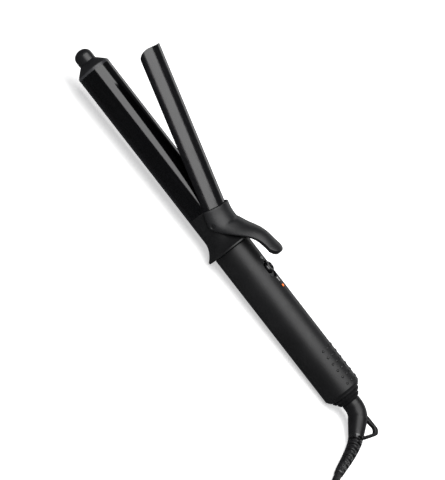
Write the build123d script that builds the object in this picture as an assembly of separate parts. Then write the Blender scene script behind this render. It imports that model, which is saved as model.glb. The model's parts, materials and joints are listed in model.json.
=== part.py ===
from build123d import *

import os
from math import atan2, cos, degrees, pi, radians, sin, sqrt, tan

# Spring-clamp curling iron. Every piece is made about the iron's own axis, with X running from the
# tip to the tail, Z on the clamp's side and X = 0 at the seam between shoulder and handle.
# The whole iron is then set down on the table, on the flat of its shoulder flange and on its tail.

# Gaps
FIT = 0.05  # radial gap of pieces that are pressed or slid together
TOUCH = 0.02  # gap of pieces that are clamped face to face on a curve
CLEAR = 0.3  # gap of pieces that move past each other
GLIDE = 0.1  # gap of the swivel's faces, which turn on each other
SEAM = 0.35  # open seam between the shoulder's flange and the sleeve
EDGE = 0.5  # chamfer of moulded edges

# Barrel
BARREL_R = 16.0
BARREL_WALL = 0.9
BARREL_LENGTH = 157.1

# Cool tip
RING_LENGTH = 2.2
CONE_LENGTH = 8.0
KNOB_LENGTH = 12.8
KNOB_R = 8.15
KNOB_ROUND = 4.6
STUB_R = 5.0
SPIGOT_WALL = 1.6
SPIGOT_LENGTH = 9.4
TIP_SCREW_R = 2.0

# Shoulder
SHOULDER_LENGTH = 40.1
FLANGE_R = 24.2
FLANGE_FLAT = 23.6  # the axis stands this far above the flat that the iron rests on
FLANGE_RIM = 1.7
FLARE_START = 0.55  # share of the shoulder that runs straight before it flares
FLARE_POWER = 2.1
SHOULDER_WALL = 2.8
SHOULDER_FRONT = 7.0  # thickness of the wall that carries the barrel
COLLAR_LENGTH = 10.0  # how far the shoulder's collar reaches into the handle
COLLAR_WALL = 2.35
COLLAR_ROOT = 3.0  # thickness of the ring that the collar stands on
LEAD_HOLE_R = 5.5

# Handle
HANDLE_LENGTH = 162.2
HANDLE_R_FRONT = 18.15
HANDLE_R_BACK = 17.95
HANDLE_BORE_R = 15.6
SLEEVE_CHAMFER = 2.3  # length of the sleeve's sloping back edge
CAP_LENGTH = 8.8
CAP_SLOPE = 0.716  # fall of the end cone, radius over length
CAP_SPIGOT = 12.2
CAP_GROOVES = (1.2, 5.0)  # where the cap's two grooves start, behind the sleeve
GROOVE_WIDTH = 1.8
GROOVE_DEPTH = 0.9

# Clamp
PIVOT_X = -24.9
PIVOT_Z = 8.0
PIN_R = 1.5
OPEN_ANGLE = 17.0  # the clamp stands this far open at rest
BLADE_WALL = 0.95
BLADE_HALF_ANGLE = 75.0
BLADE_SHORT = 8.0  # the closed blade starts this far behind the barrel's front edge
BLADE_BACK = -33.0  # and ends here, under the saddle
BLADE_CORNER = 5.3
SADDLE_WALL = 2.6
SADDLE_GAP = 0.25  # between blade and saddle
SADDLE_HALF_ANGLE = 77.5
PAD_END = 28.8
PAD_Z = 34.0
PAD_NOSE_R = 11.0
RIVET_R = 1.2
RIVET_HEAD_R = 2.0
RIVET_X = -36.2
RIVET_ANGLES = (-45.0, 0.0, 45.0)

# Clamp spring
SPRING_WIRE_R = 0.6
SPRING_TURNS = 5
SPRING_R = 3.1
SPRING_PITCH = 1.5

# Heater
SHOE_LENGTH = 70.0
SHOE_BACK = -70.0
SHOE_WALL = 1.3
HEATER_THICKNESS = 3.2
HEATER_WIDTH = 18.0
LEAD_R = 0.9
LEAD_Y = 2.0
LEAD_Z = -1.2

# Slide switch
SWITCH_X = 33.1
SWITCH_TRAVEL = 3.5
KNOB_TOP_Z = 20.3
SWITCH_KNOB_R = 5.45
STEM_SIDE = 3.0
WELL_FRONT_GAP = 1.65  # from the well's front end to the knob
WELL_BACK_GAP = 1.35
WELL_SIDE_GAP = 0.45
PLATE_SEAT = 2.0  # the plate's flange lies this deep under the sleeve's bore

# Pilot light
LIGHT_X = 53.3
LIGHT_R = 1.35

# Electronics carrier
PLATE_Z = -7.5
PLATE_THICKNESS = 2.0
PLATE_MARGIN = 3.2  # the plate is this much narrower than the bore, on each side
BOARD_START = 18.0
BOARD_LENGTH = 94.0
BOARD_HALF_WIDTH = 10.5
BOARD_Z = -2.0
BOARD_THICKNESS = 1.6
BOARD_SCREW_R = 1.0
CHASSIS_SCREW_R = 1.1
CHASSIS_SCREW_X = -8.0
CHASSIS_SCREW_Y = (-5.0, 5.0)

# Swivel
STEM_R = 6.0
STEM_CORE_R = 5.0
STEM_FLANGE_R = 9.0
STEM_FLANGE_LENGTH = 3.1
SOCKET_R = 12.0
SOCKET_LENGTH = 14.7
ELBOW_R = 8.7
ELBOW_RUN = 13.0  # from the cap to the corner of the elbow's centre line
ELBOW_ANGLE = 55.8
ELBOW_BEND_R = 15.0
ELBOW_ARM = 24.6
ELBOW_END_R = 6.8
ELBOW_DROP = 20.0  # at rest the elbow points sideways and this far below level
LOOP_HALF_WIDTH = 2.3
SLIP_RINGS = (-10.2, -5.2)  # where the slip rings start, from the back of their socket
SLIP_RING_WIDTH = 3.0
BRUSH_GAP = 0.08
BRUSH_TOP = 10.6
SOCKET_FLOOR = 2.0

# Cord
CORD_R = 3.2
RELIEF_END_R = 4.0
RELIEF_REACH = (8.6, -56.4)  # from the elbow's end to the relief's end, over the table
RELIEF_END_Z = 4.6
RELIEF_HEADING = -84.0
RELIEF_EASE = 0.7  # share of the straight distance that each end of the relief runs straight on for
COIL_BASE = 1.2  # the coil lies on its tie
COIL_PITCH = 6.4
COIL_TURNS = 5
COIL_MID_R = 37.5
COIL_LAYER = 5.6
TIE_WIDTH = 10.0
TIE_WALL = 1.0
PLUG_LENGTH = 34.0
PLUG_WIDTH = 25.0
PLUG_HEIGHT = 14.0
PLUG_PIN_R = 2.0
PLUG_PIN_LENGTH = 19.0
PLUG_PIN_SPACING = 18.6
PLUG_PIN_ROOT = 8.0
PLUG_PIN_ROOT_R = 1.6
# Route of the cord from the relief's end, along and across the table, and the height of its centre
CORD_ROUTE = [
    (0.0, 0.0, 4.6),
    (1.6, -16.4, 4.1),
    (8.4, -33.0, 3.6),
    (21.6, -48.0, 3.4),
    (42.6, -58.8, 3.9),
    (69.0, -64.8, 4.4),
]
# Route of the cord's end from the coil's centre to the plug
CORD_END = [(40.7, 4.0, 10.2), (41.2, 17.0, 11.2), (42.6, 32.0, 10.4), (43.0, 48.0, 7.2)]
PLUG_HEADING = 89.0

# Lengthwise places that follow from the sizes above
barrel_back = -SHOULDER_LENGTH
barrel_front = barrel_back - BARREL_LENGTH
flare_start = barrel_back + FLARE_START * SHOULDER_LENGTH
cone_back = barrel_front - RING_LENGTH
cone_front = cone_back - CONE_LENGTH
tip_end = cone_front - KNOB_LENGTH
tail_end = HANDLE_LENGTH + CAP_LENGTH
bore_r = BARREL_R - BARREL_WALL
spigot_r = bore_r - FIT
cavity_r = BARREL_R - SHOULDER_WALL
collar_r = HANDLE_BORE_R - FIT
collar_bore_r = collar_r - COLLAR_WALL
blade_r = BARREL_R + CLEAR + FIT
saddle_r = blade_r + BLADE_WALL + SADDLE_GAP
plate_top = PLATE_Z + PLATE_THICKNESS
board_top = BOARD_Z + BOARD_THICKNESS
well_start = SWITCH_X - SWITCH_KNOB_R - WELL_FRONT_GAP
well_end = SWITCH_X + SWITCH_TRAVEL + SWITCH_KNOB_R + WELL_BACK_GAP
well_length = well_end - well_start
well_middle = (well_start + well_end) / 2
well_width = 2 * (SWITCH_KNOB_R + WELL_SIDE_GAP)
plate_seat = HANDLE_BORE_R - PLATE_SEAT
sleeve_lip_r = HANDLE_R_BACK - SLEEVE_CHAMFER * CAP_SLOPE
socket_back = HANDLE_LENGTH + 0.5
flange_start = socket_back + GLIDE
tilt = degrees(atan2(FLANGE_FLAT - HANDLE_R_BACK, HANDLE_LENGTH))


def turned(points):
    """Solid turned about the iron's axis from an outline of (x, radius) points."""
    outline = Polyline(*[(x, 0, r) for x, r in points], close=True)
    return revolve(make_face(outline), Axis.X, 360)


def rod(x_from, x_to, radius, y=0.0, z=0.0):
    """Round bar along X."""
    middle = ((x_from + x_to) / 2, y, z)
    return Location(middle) * Rot(0, 90, 0) * Cylinder(radius, abs(x_to - x_from))


def tube(x_from, x_to, outer, inner):
    return rod(x_from, x_to, outer) - rod(x_from, x_to, inner)


def block(x_from, x_to, y_half, z_from, z_to, y=0.0):
    """Box given by its limits."""
    middle = ((x_from + x_to) / 2, y, (z_from + z_to) / 2)
    return Location(middle) * Box(x_to - x_from, 2 * y_half, z_to - z_from)


def post(x, y, z_from, z_to, radius):
    """Round bar along Z."""
    return Location((x, y, (z_from + z_to) / 2)) * Cylinder(radius, z_to - z_from)


def stadium(x_middle, length, width, z_from, z_to):
    """Upright bar with a slot-shaped outline that is long in X."""
    sketch = SlotOverall(length, width) if length > width else Circle(width / 2)
    return Location((x_middle, 0, z_from)) * extrude(sketch, z_to - z_from)


def radial_pin(x, angle, r_from, r_to, radius):
    """Round bar that stands off the iron's axis, at an angle from the top."""
    pin = Location((x, 0, (r_from + r_to) / 2)) * Cylinder(radius, r_to - r_from)
    return Rot(angle, 0, 0) * pin


def opened(shape):
    """Turns a piece of the closed clamp about its pin to the rest pose."""
    pin = Location((PIVOT_X, 0, PIVOT_Z))
    return pin * Rot(0, OPEN_ANGLE, 0) * pin.inverse() * shape


def barrel_tube():
    return tube(barrel_front, barrel_back, BARREL_R, bore_r)


def tip_ring():
    """Spacer ring between the hot barrel and the cool tip."""
    return tube(cone_back, barrel_front, BARREL_R + 0.1, bore_r)


def tip_cone():
    outer = [
        (cone_back + SPIGOT_LENGTH, 0),
        (cone_back + SPIGOT_LENGTH, spigot_r),
        (cone_back, spigot_r),
        (cone_back, BARREL_R),
        (cone_front + 1.2, KNOB_R + 0.9),
        (cone_front, KNOB_R),
        (cone_front, 0),
    ]
    hollow_front = cone_back + 1.6
    hollow = tube(hollow_front, cone_back + SPIGOT_LENGTH, spigot_r - SPIGOT_WALL, STUB_R)
    stub_hole = rod(cone_front, cone_front + 4.0, STUB_R + TOUCH)
    screw_hole = rod(cone_front + 4.0, cone_back + SPIGOT_LENGTH, TIP_SCREW_R + TOUCH)
    return turned(outer) - hollow - stub_hole - screw_hole


def tip_knob():
    knob = rod(tip_end, cone_front, KNOB_R)
    knob = fillet(knob.edges().sort_by(Axis.X)[0], KNOB_ROUND)
    return knob + rod(cone_front, cone_front + 3.8, STUB_R)


def tip_plug():
    """Cup pressed into the barrel behind the cone, which the tip's screw pulls on."""
    front = cone_back + SPIGOT_LENGTH + CLEAR
    cup = rod(front, front + 4.0, spigot_r) - rod(front + 2.0, front + 4.0, spigot_r - SPIGOT_WALL)
    return cup - rod(front, front + 2.0, TIP_SCREW_R + TOUCH)


def tip_screw():
    seat = cone_back + SPIGOT_LENGTH + CLEAR + 2.0
    return rod(seat, seat + 2.2, 3.4) + rod(cone_front + 6.0, seat, TIP_SCREW_R)


def mount_screw_places():
    """Three screws on a circle, with one straight below the axis."""
    circle_r = (LEAD_HOLE_R + spigot_r) / 2 - 0.6
    return [(circle_r * cos(radians(a)), circle_r * sin(radians(a))) for a in (-90, 30, 150)]


def barrel_mount():
    """Heat-proof flange that the barrel is pressed onto and that is screwed to the shoulder."""
    web = barrel_back - 3.0
    mount = tube(barrel_back - 12.0, barrel_back, spigot_r, spigot_r - SPIGOT_WALL)
    mount += tube(web, barrel_back, spigot_r - SPIGOT_WALL / 2, LEAD_HOLE_R)
    for y, z in mount_screw_places():
        mount -= rod(web, barrel_back, 1.4 + TOUCH, y, z)
    return mount


def barrel_mount_screws():
    seat = barrel_back - 3.0
    screws = []
    for y, z in mount_screw_places():
        screws.append(rod(seat - 1.8, seat, 2.4, y, z) + rod(seat, barrel_back + 5.6, 1.4, y, z))
    return Compound(screws)


def shoulder_skin_radius(x):
    """Outer radius of the shoulder: straight behind the barrel, then flaring to the flange."""
    share = (x - flare_start) / (-FLANGE_RIM - flare_start)
    return BARREL_R + (FLANGE_R - BARREL_R) * max(0.0, min(1.0, share)) ** FLARE_POWER


def shoulder_housing():
    stations = [flare_start + i * (-FLANGE_RIM - flare_start) / 8 for i in range(9)]
    flare = [Vector(x, 0, shoulder_skin_radius(x)) for x in stations]
    line = Spline(*flare, tangents=[(1, 0, 0), (1, 0, 1.05)])
    outline = Polyline(flare[-1], (-EDGE, 0, FLANGE_R), (0, 0, FLANGE_R - EDGE), (0, 0, collar_r),
                       (COLLAR_LENGTH, 0, collar_r), (COLLAR_LENGTH, 0, 0), (barrel_back, 0, 0),
                       (barrel_back, 0, BARREL_R), flare[0])
    body = revolve(make_face([line, outline]), Axis.X, 360)
    wall_back = barrel_back + SHOULDER_FRONT
    body -= rod(wall_back, -COLLAR_ROOT, cavity_r)
    body -= rod(-COLLAR_ROOT, COLLAR_LENGTH, collar_bore_r)
    body -= rod(barrel_back, wall_back, LEAD_HOLE_R)
    # Window under the lever for the clamp spring
    window_half = SPRING_PITCH * SPRING_TURNS / 2 + 2.6
    body -= block(wall_back + 1.5, -9.0, window_half, PIVOT_Z - 4.5, 2 * BARREL_R)
    # Land that the electronics carrier is screwed to
    land = block(-13.0, -3.0, 9.0, -cavity_r - 0.6, PLATE_Z)
    body += land & rod(-13.0, -3.0, cavity_r + 0.6)
    for y in CHASSIS_SCREW_Y:
        body -= post(CHASSIS_SCREW_X, y, -cavity_r + 0.5, PLATE_Z, CHASSIS_SCREW_R + TOUCH)
    for y, z in mount_screw_places():
        body -= rod(barrel_back, wall_back - 1.2, 1.4 + TOUCH, y, z)
    body -= across(PIN_R + TOUCH, 4 * BARREL_R)
    # Flat that stands on the table
    table = Box(120, 80, 20, align=(Align.CENTER, Align.CENTER, Align.MAX))
    return body - Location((0, 0, -FLANGE_FLAT)) * Rot(0, -tilt, 0) * table


def across(radius, length):
    """Round bar along the pivot's axis."""
    return Location((PIVOT_X, 0, PIVOT_Z)) * Rot(90, 0, 0) * Cylinder(radius, length)


def pivot_pin():
    ear_reach = sqrt((saddle_r + SADDLE_WALL) ** 2 - PIVOT_Z**2)
    return across(PIN_R, 2 * ear_reach - 0.4)


def clamp_blade():
    """Thin curved blade, cut with rounded front corners, and punched for its rivets."""
    front = barrel_front + BLADE_SHORT
    shell = tube(front, BLADE_BACK, blade_r + BLADE_WALL, blade_r)
    half = radians(BLADE_HALF_ANGLE)
    reach = 2 * BARREL_R
    wedge = Polyline((0, 0), (reach * sin(half), reach * cos(half)), (reach, reach),
                     (-reach, reach), (-reach * sin(half), reach * cos(half)), close=True)
    keep = extrude(Plane.YZ * make_face(wedge), abs(front) + 10, both=True)
    blade = shell & keep
    # Rounded front corners, cut from the side
    depth = (blade_r + BLADE_WALL) * cos(half)
    corner = block(front, front + BLADE_CORNER, 2 * BARREL_R, depth - 2, depth + BLADE_CORNER)
    rounding = Location((front + BLADE_CORNER, 0, depth + BLADE_CORNER)) * Rot(90, 0, 0)
    blade -= corner - rounding * Cylinder(BLADE_CORNER, 6 * BARREL_R)
    for angle in RIVET_ANGLES:
        blade -= radial_pin(RIVET_X, angle, blade_r - 1, saddle_r + 1, RIVET_R + TOUCH)
        blade -= radial_pin(RIVET_X, angle, blade_r - 1, blade_r + BLADE_WALL / 2, RIVET_HEAD_R + TOUCH)
    return opened(blade)


def blade_rivets():
    rivets = []
    for angle in RIVET_ANGLES:
        rivet = radial_pin(RIVET_X, angle, blade_r + 0.15, blade_r + BLADE_WALL / 2, RIVET_HEAD_R)
        rivet += radial_pin(RIVET_X, angle, blade_r + 0.2, saddle_r + 1.5, RIVET_R)
        rivets.append(opened(rivet))
    return Compound(rivets)


def arch(half_width, rise, side, edge, under):
    """Cross-section of the lever: a crowned band whose lower corners lie at height 0."""
    inner = half_width - edge
    top = ThreePointArc((-half_width, side), (0, rise), (half_width, side))
    bottom = ThreePointArc((inner, 0), (0, under), (-inner, 0))
    edges = [Line((half_width, side), (inner, 0)), Line((-inner, 0), (-half_width, side))]
    return make_face([top, edges[0], bottom, edges[1]])


def saddle_section(x, lift):
    """Section of the closed lever about the shoulder, raised by lift at its top."""
    half = radians(SADDLE_HALF_ANGLE)
    outer = saddle_r + SADDLE_WALL
    section = arch(outer * sin(half), outer - saddle_r * cos(half) + lift, SADDLE_WALL * cos(half),
                   SADDLE_WALL * sin(half), saddle_r * (1 - cos(half)) + lift)
    plane = Plane(origin=(x, 0, saddle_r * cos(half)), x_dir=(0, 1, 0), z_dir=(1, 0, 0))
    return opened(plane * section)


def lever_section(x, low, top, half_width, side, edge, wall):
    """Section of the lever's arm and pad as they stand in the open clamp."""
    section = arch(half_width, top - low, side, edge, top - low - wall)
    return Plane(origin=(x, 0, low), x_dir=(0, 1, 0), z_dir=(1, 0, 0)) * section


def thumb_lever():
    """Saddle over the shoulder, arm and thumb pad in one moulding."""
    sections = [
        saddle_section(barrel_back + 0.6, 0.1),
        saddle_section(-36.2, 0.1),
        saddle_section(-32.6, 0.3),
        saddle_section(-28.8, 1.0),
        saddle_section(PIVOT_X, 2.1),
        lever_section(-18.3, 7.4, 23.2, 18.3, 0.9, 2.4, 2.7),
        lever_section(-12.1, 12.6, 26.4, 17.0, 1.2, 2.3, 2.8),
        lever_section(-5.7, 18.6, 30.4, 15.2, 1.8, 2.2, 3.0),
        lever_section(1.6, 24.8, 34.6, 12.8, 2.6, 2.0, 3.6),
        lever_section(9.6, 28.9, 37.0, 11.0, 3.4, 1.8, 5.0),
        lever_section(17.7, 30.7, 37.9, 10.6, 3.8, 1.6, 6.4),
        lever_section(PAD_END, 31.6, 37.4, 10.4, 3.4, 1.4, 5.0),
    ]
    lever = loft(sections)
    # Rounded outline of the pad's end
    nose_x = PAD_END - PAD_NOSE_R
    beyond = block(nose_x, PAD_END + 5, 2 * PAD_NOSE_R, PAD_Z - 15, PAD_Z + 15)
    lever -= beyond - post(nose_x, 0, PAD_Z - 15, PAD_Z + 15, PAD_NOSE_R)
    lever -= across(PIN_R + FIT, 6 * BARREL_R)
    for angle in RIVET_ANGLES:
        lever -= opened(radial_pin(RIVET_X, angle, saddle_r - 1, saddle_r + 1.5, RIVET_R + TOUCH))
    return lever


def torsion_spring():
    """Coil round the pin, with one leg under the lever and one on the shoulder's front wall."""
    height = SPRING_TURNS * SPRING_PITCH
    helix = Helix(SPRING_PITCH, height, SPRING_R)
    start = Plane(origin=helix @ 0, z_dir=helix % 0)
    coil = sweep(start * Circle(SPRING_WIRE_R), path=helix)
    coil = Location((PIVOT_X, height / 2, PIVOT_Z)) * Rot(90, 0, 0) * coil
    upper = wire_leg((PIVOT_X + SPRING_R, height / 2, PIVOT_Z), (PIVOT_X + 9.5, height / 2, 20.4))
    lower = wire_leg((PIVOT_X + SPRING_R, -height / 2, PIVOT_Z), (PIVOT_X + 4.6, -height / 2, -7.0))
    return coil + upper + lower


def wire_leg(start, end):
    line = Line(start, end)
    return sweep(Plane(origin=line @ 0, z_dir=line % 0) * Circle(SPRING_WIRE_R), path=line)


def shoe(side):
    """Half-round aluminium shoe, hollow, with its flat towards the heater."""
    flat = HEATER_THICKNESS / 2 + FIT
    outer = rod(SHOE_BACK - SHOE_LENGTH, SHOE_BACK, bore_r - FIT)
    outer &= block(SHOE_BACK - SHOE_LENGTH, SHOE_BACK, BARREL_R, flat, BARREL_R)
    inner = rod(SHOE_BACK - SHOE_LENGTH, SHOE_BACK, bore_r - FIT - SHOE_WALL)
    inner &= block(SHOE_BACK - SHOE_LENGTH, SHOE_BACK, BARREL_R, flat + SHOE_WALL, BARREL_R)
    return Rot(0 if side > 0 else 180, 0, 0) * (outer - inner)


def heater_plate():
    half = HEATER_THICKNESS / 2
    return block(SHOE_BACK - SHOE_LENGTH + 2, SHOE_BACK, HEATER_WIDTH / 2, -half, half)


def spreader_springs():
    """Bowed leaf springs beside the heater that push the shoes against the barrel."""
    half = HEATER_THICKNESS / 2 - 0.1
    middle = SHOE_BACK - SHOE_LENGTH / 2
    bow = ThreePointArc((middle - 22, -half), (middle, half - 0.4), (middle + 22, -half))
    cap = ThreePointArc((middle + 22, -half + 0.4), (middle, half), (middle - 22, -half + 0.4))
    ends = [Line(bow @ 1, cap @ 0), Line(cap @ 1, bow @ 0)]
    strip = extrude(Plane.XZ * make_face([bow, ends[0], cap, ends[1]]), 1.4, both=True)
    return Compound([Location((0, y, 0)) * strip for y in (-11.5, 11.5)])


def thermal_fuse():
    fuse = rod(-64, -54, 2.4, -LEAD_Y, LEAD_Z)
    return fuse - rod(-64, -54, LEAD_R + TOUCH, -LEAD_Y, LEAD_Z)


def temperature_sensor():
    """Bead that lies inside the upper shoe, on its flat."""
    floor = HEATER_THICKNESS / 2 + FIT + SHOE_WALL
    bead = block(-98, -90, 1.6, floor, floor + 2.4)
    return fillet(bead.edges().filter_by(Axis.X), 0.6)


def heater_leads():
    return Compound([rod(SHOE_BACK, BOARD_START, LEAD_R, y, LEAD_Z) for y in (-LEAD_Y, LEAD_Y)])


def handle_sleeve():
    """Long tapered tube with the switch well and the pilot light's hole."""
    outline = [
        (SEAM, HANDLE_BORE_R),
        (SEAM, HANDLE_R_FRONT - EDGE),
        (SEAM + EDGE, HANDLE_R_FRONT),
        (HANDLE_LENGTH - SLEEVE_CHAMFER, HANDLE_R_BACK),
        (HANDLE_LENGTH, sleeve_lip_r),
        (HANDLE_LENGTH, HANDLE_BORE_R),
    ]
    sleeve = turned(outline)
    sleeve -= stadium(well_middle, well_length, well_width, 0, 2 * HANDLE_R_FRONT)
    return sleeve - post(LIGHT_X, 0, 0, 2 * HANDLE_R_FRONT, LIGHT_R)


def switch_plate():
    """Recessed plate in the switch well, with the slot for the knob's stem."""
    plate = stadium(well_middle, well_length - 2 * FIT, well_width - 2 * FIT, plate_seat, plate_seat + 2.9)
    plate += stadium(well_middle, well_length + 2.4, well_width + 1.4, plate_seat - 1.4, plate_seat)
    slot_length = SWITCH_TRAVEL + STEM_SIDE + 2.4
    slot_middle = SWITCH_X + SWITCH_TRAVEL / 2
    plate -= stadium(slot_middle, slot_length, STEM_SIDE + 0.8, plate_seat - 1.6, plate_seat + 3.4)
    return plate


def switch_knob():
    """Domed sliding button with its square stem."""
    cap = post(SWITCH_X, 0, 16.8, KNOB_TOP_Z, SWITCH_KNOB_R)
    cap = fillet(cap.edges().filter_by(GeomType.CIRCLE).sort_by(Axis.Z)[-1], 1.5)
    half = STEM_SIDE / 2
    return cap + block(SWITCH_X - half, SWITCH_X + half, half, 6.6, 16.8)


def slide_switch_body():
    body = block(SWITCH_X - 7, SWITCH_X + 10, 5.0, board_top, 9.6)
    half = STEM_SIDE / 2
    slot_ends = SWITCH_X - half - 0.8, SWITCH_X + SWITCH_TRAVEL + half + 0.8
    return body - block(*slot_ends, half + 0.5, 6.0, 9.6)


def led_window():
    """Light pipe with its flange under the sleeve."""
    pipe = post(LIGHT_X, 0, 8.6, HANDLE_R_FRONT + 0.35, LIGHT_R - FIT)
    pipe = fillet(pipe.edges().filter_by(GeomType.CIRCLE).sort_by(Axis.Z)[-1], 0.5)
    return pipe + post(LIGHT_X, 0, HANDLE_BORE_R - 2.2, HANDLE_BORE_R - 0.6, LIGHT_R + 1.0)


def pilot_led():
    led = post(LIGHT_X, 0, board_top, 8.2, 1.5)
    return led + post(LIGHT_X, 0, board_top, board_top + 1.0, 2.0)


def triac():
    return block(60, 71, 5.0, board_top, board_top + 4.4)


def mains_capacitor():
    can = block(78, 94, 5.5, board_top, 10.4)
    return fillet(can.edges().filter_by(Axis.X), 1.0)


def board_places():
    ends = (BOARD_START + 6, BOARD_START + BOARD_LENGTH - 6)
    return [(x, y) for x in ends for y in (-7.0, 7.0)]


def handle_chassis():
    """Carrier plate with ribs that centre it in the sleeve and posts for the board."""
    plate_end = HANDLE_LENGTH - CAP_SPIGOT - 4
    plate = block(-12.5, -COLLAR_ROOT, 8.6, PLATE_Z, plate_top)
    plate += block(-COLLAR_ROOT, COLLAR_LENGTH + 2, collar_bore_r - 4.6, PLATE_Z, plate_top)
    plate += block(COLLAR_LENGTH + 1, plate_end, HANDLE_BORE_R - PLATE_MARGIN, PLATE_Z, plate_top)
    count = 4
    first, last = COLLAR_LENGTH + 6, plate_end - 4
    for i in range(count):
        x = first + i * (last - first) / (count - 1)
        below = block(x, x + 2, HANDLE_BORE_R, -HANDLE_BORE_R, PLATE_Z + 0.5)
        plate += rod(x, x + 2, HANDLE_BORE_R - GLIDE) & below
    for x, y in board_places():
        plate += post(x, y, plate_top - 0.5, BOARD_Z, 2.4)
    for x, y in board_places():
        plate -= post(x, y, PLATE_Z + 0.5, BOARD_Z, BOARD_SCREW_R + TOUCH)
    for y in CHASSIS_SCREW_Y:
        plate -= post(CHASSIS_SCREW_X, y, PLATE_Z, plate_top, CHASSIS_SCREW_R + TOUCH)
    return plate


def chassis_screws():
    screws = []
    for y in CHASSIS_SCREW_Y:
        head = post(CHASSIS_SCREW_X, y, plate_top, plate_top + 1.6, 2.1)
        screws.append(head + post(CHASSIS_SCREW_X, y, PLATE_Z - 4.6, plate_top, CHASSIS_SCREW_R))
    return Compound(screws)


def circuit_board():
    board = block(BOARD_START, BOARD_START + BOARD_LENGTH, BOARD_HALF_WIDTH, BOARD_Z, board_top)
    for x, y in board_places():
        board -= post(x, y, BOARD_Z, board_top, BOARD_SCREW_R + TOUCH)
    return board


def board_screws():
    screws = []
    for x, y in board_places():
        head = post(x, y, board_top, board_top + 1.4, 1.9)
        screws.append(head + post(x, y, BOARD_Z - 3.4, board_top, BOARD_SCREW_R))
    return Compound(screws)


def tail_cap():
    """End cone with two grooves, and the pocket that the elbow's flange turns in."""
    outline = [(HANDLE_LENGTH - CAP_SPIGOT, 0), (HANDLE_LENGTH - CAP_SPIGOT, HANDLE_BORE_R - FIT),
               (HANDLE_LENGTH, HANDLE_BORE_R - FIT), (HANDLE_LENGTH, sleeve_lip_r - EDGE)]
    for start in CAP_GROOVES:
        end = start + GROOVE_WIDTH
        outline.append((HANDLE_LENGTH + start, sleeve_lip_r - start * CAP_SLOPE))
        outline.append((HANDLE_LENGTH + start, sleeve_lip_r - start * CAP_SLOPE - GROOVE_DEPTH))
        outline.append((HANDLE_LENGTH + end, sleeve_lip_r - end * CAP_SLOPE - GROOVE_DEPTH))
        outline.append((HANDLE_LENGTH + end, sleeve_lip_r - end * CAP_SLOPE))
    outline += [(tail_end, sleeve_lip_r - CAP_LENGTH * CAP_SLOPE), (tail_end, 0)]
    cap = turned(outline)
    cap -= rod(HANDLE_LENGTH - CAP_SPIGOT, socket_back, SOCKET_R + FIT)
    pocket_end = flange_start + STEM_FLANGE_LENGTH + GLIDE
    cap -= rod(socket_back, pocket_end, STEM_FLANGE_R + 2 * GLIDE)
    return cap - rod(pocket_end, tail_end, STEM_R + FIT)


def brush_blocks(gap):
    """The two contact brushes, which press on the slip rings from above."""
    blocks = []
    for start in SLIP_RINGS:
        middle = socket_back + start + SLIP_RING_WIDTH / 2
        low, high = STEM_R + BRUSH_GAP, BRUSH_TOP + gap
        blocks.append(block(middle - 1.0 - gap, middle + 1.0 + gap, 1.5 + gap, low, high))
    return blocks


def swivel_retainer():
    """Socket behind the elbow's flange, which keeps it in and carries the brushes."""
    front = socket_back - SOCKET_LENGTH
    socket = rod(front, socket_back, SOCKET_R)
    socket -= rod(front + SOCKET_FLOOR, socket_back, STEM_R + 2 * GLIDE)
    for pocket in brush_blocks(TOUCH):
        socket -= pocket
    return socket


def contact_brushes():
    return Compound(brush_blocks(0.0))


def slip_rings():
    starts = [socket_back + start for start in SLIP_RINGS]
    return Compound([tube(x, x + SLIP_RING_WIDTH, STEM_R, STEM_CORE_R + TOUCH) for x in starts])


def supply_leads():
    """Sleeved wires from the board to the swivel's socket."""
    start = BOARD_START + BOARD_LENGTH
    end = socket_back - SOCKET_LENGTH
    return Compound([rod(start, end, LEAD_R, y, LEAD_Z) for y in (-3.5, 3.5)])


elbow_start = tail_end + CLEAR
elbow_corner = tail_end + ELBOW_RUN
arm_along = cos(radians(ELBOW_ANGLE))
arm_aside = sin(radians(ELBOW_ANGLE))


def elbow_plane_point(along, aside, off=0.0):
    """Point in the elbow's own plane: along the iron, aside from it, and square to the plane."""
    drop = radians(ELBOW_DROP)
    y = -aside * cos(drop) + off * sin(drop)
    z = -aside * sin(drop) - off * cos(drop)
    return Vector(along, y, z)


def elbow_arm_point(distance, outward=0.0):
    """Point on the elbow's arm, measured from its corner, and out from the arm's centre line."""
    along = elbow_corner + distance * arm_along + outward * arm_aside
    aside = distance * arm_aside - outward * arm_along
    return elbow_plane_point(along, aside)


def hang_loop():
    """Three-cornered ring on the outer side of the elbow, in the elbow's plane."""
    outer = [(0.5, 6.0), (0.5, 9.6), (7.6, 21.6), (14.2, 22.6), (24.5, 8.6), (24.5, 2.0)]
    hole = [(7.6, 9.3), (11.2, 17.4), (14.4, 17.8), (20.2, 8.2)]
    solids = []
    for outline in (outer, hole):
        line = Polyline(*[elbow_arm_point(d, out) for d, out in outline], close=True)
        face = make_face(line)
        half = LOOP_HALF_WIDTH if outline is outer else 2 * LOOP_HALF_WIDTH
        solids.append(extrude(face, half, both=True))
    ring = solids[0] - solids[1]
    normal = (elbow_plane_point(0, 0, 1) - elbow_plane_point(0, 0)).normalized()
    upright = [e for e in ring.edges() if abs(e.length - 2 * LOOP_HALF_WIDTH) < 0.01
               and abs((e % 0.5).dot(normal)) > 0.99]
    outward = [e for e in upright if (e.center() - elbow_arm_point(12.0)).length > 13.5]
    return fillet(outward, 2.2)


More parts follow.
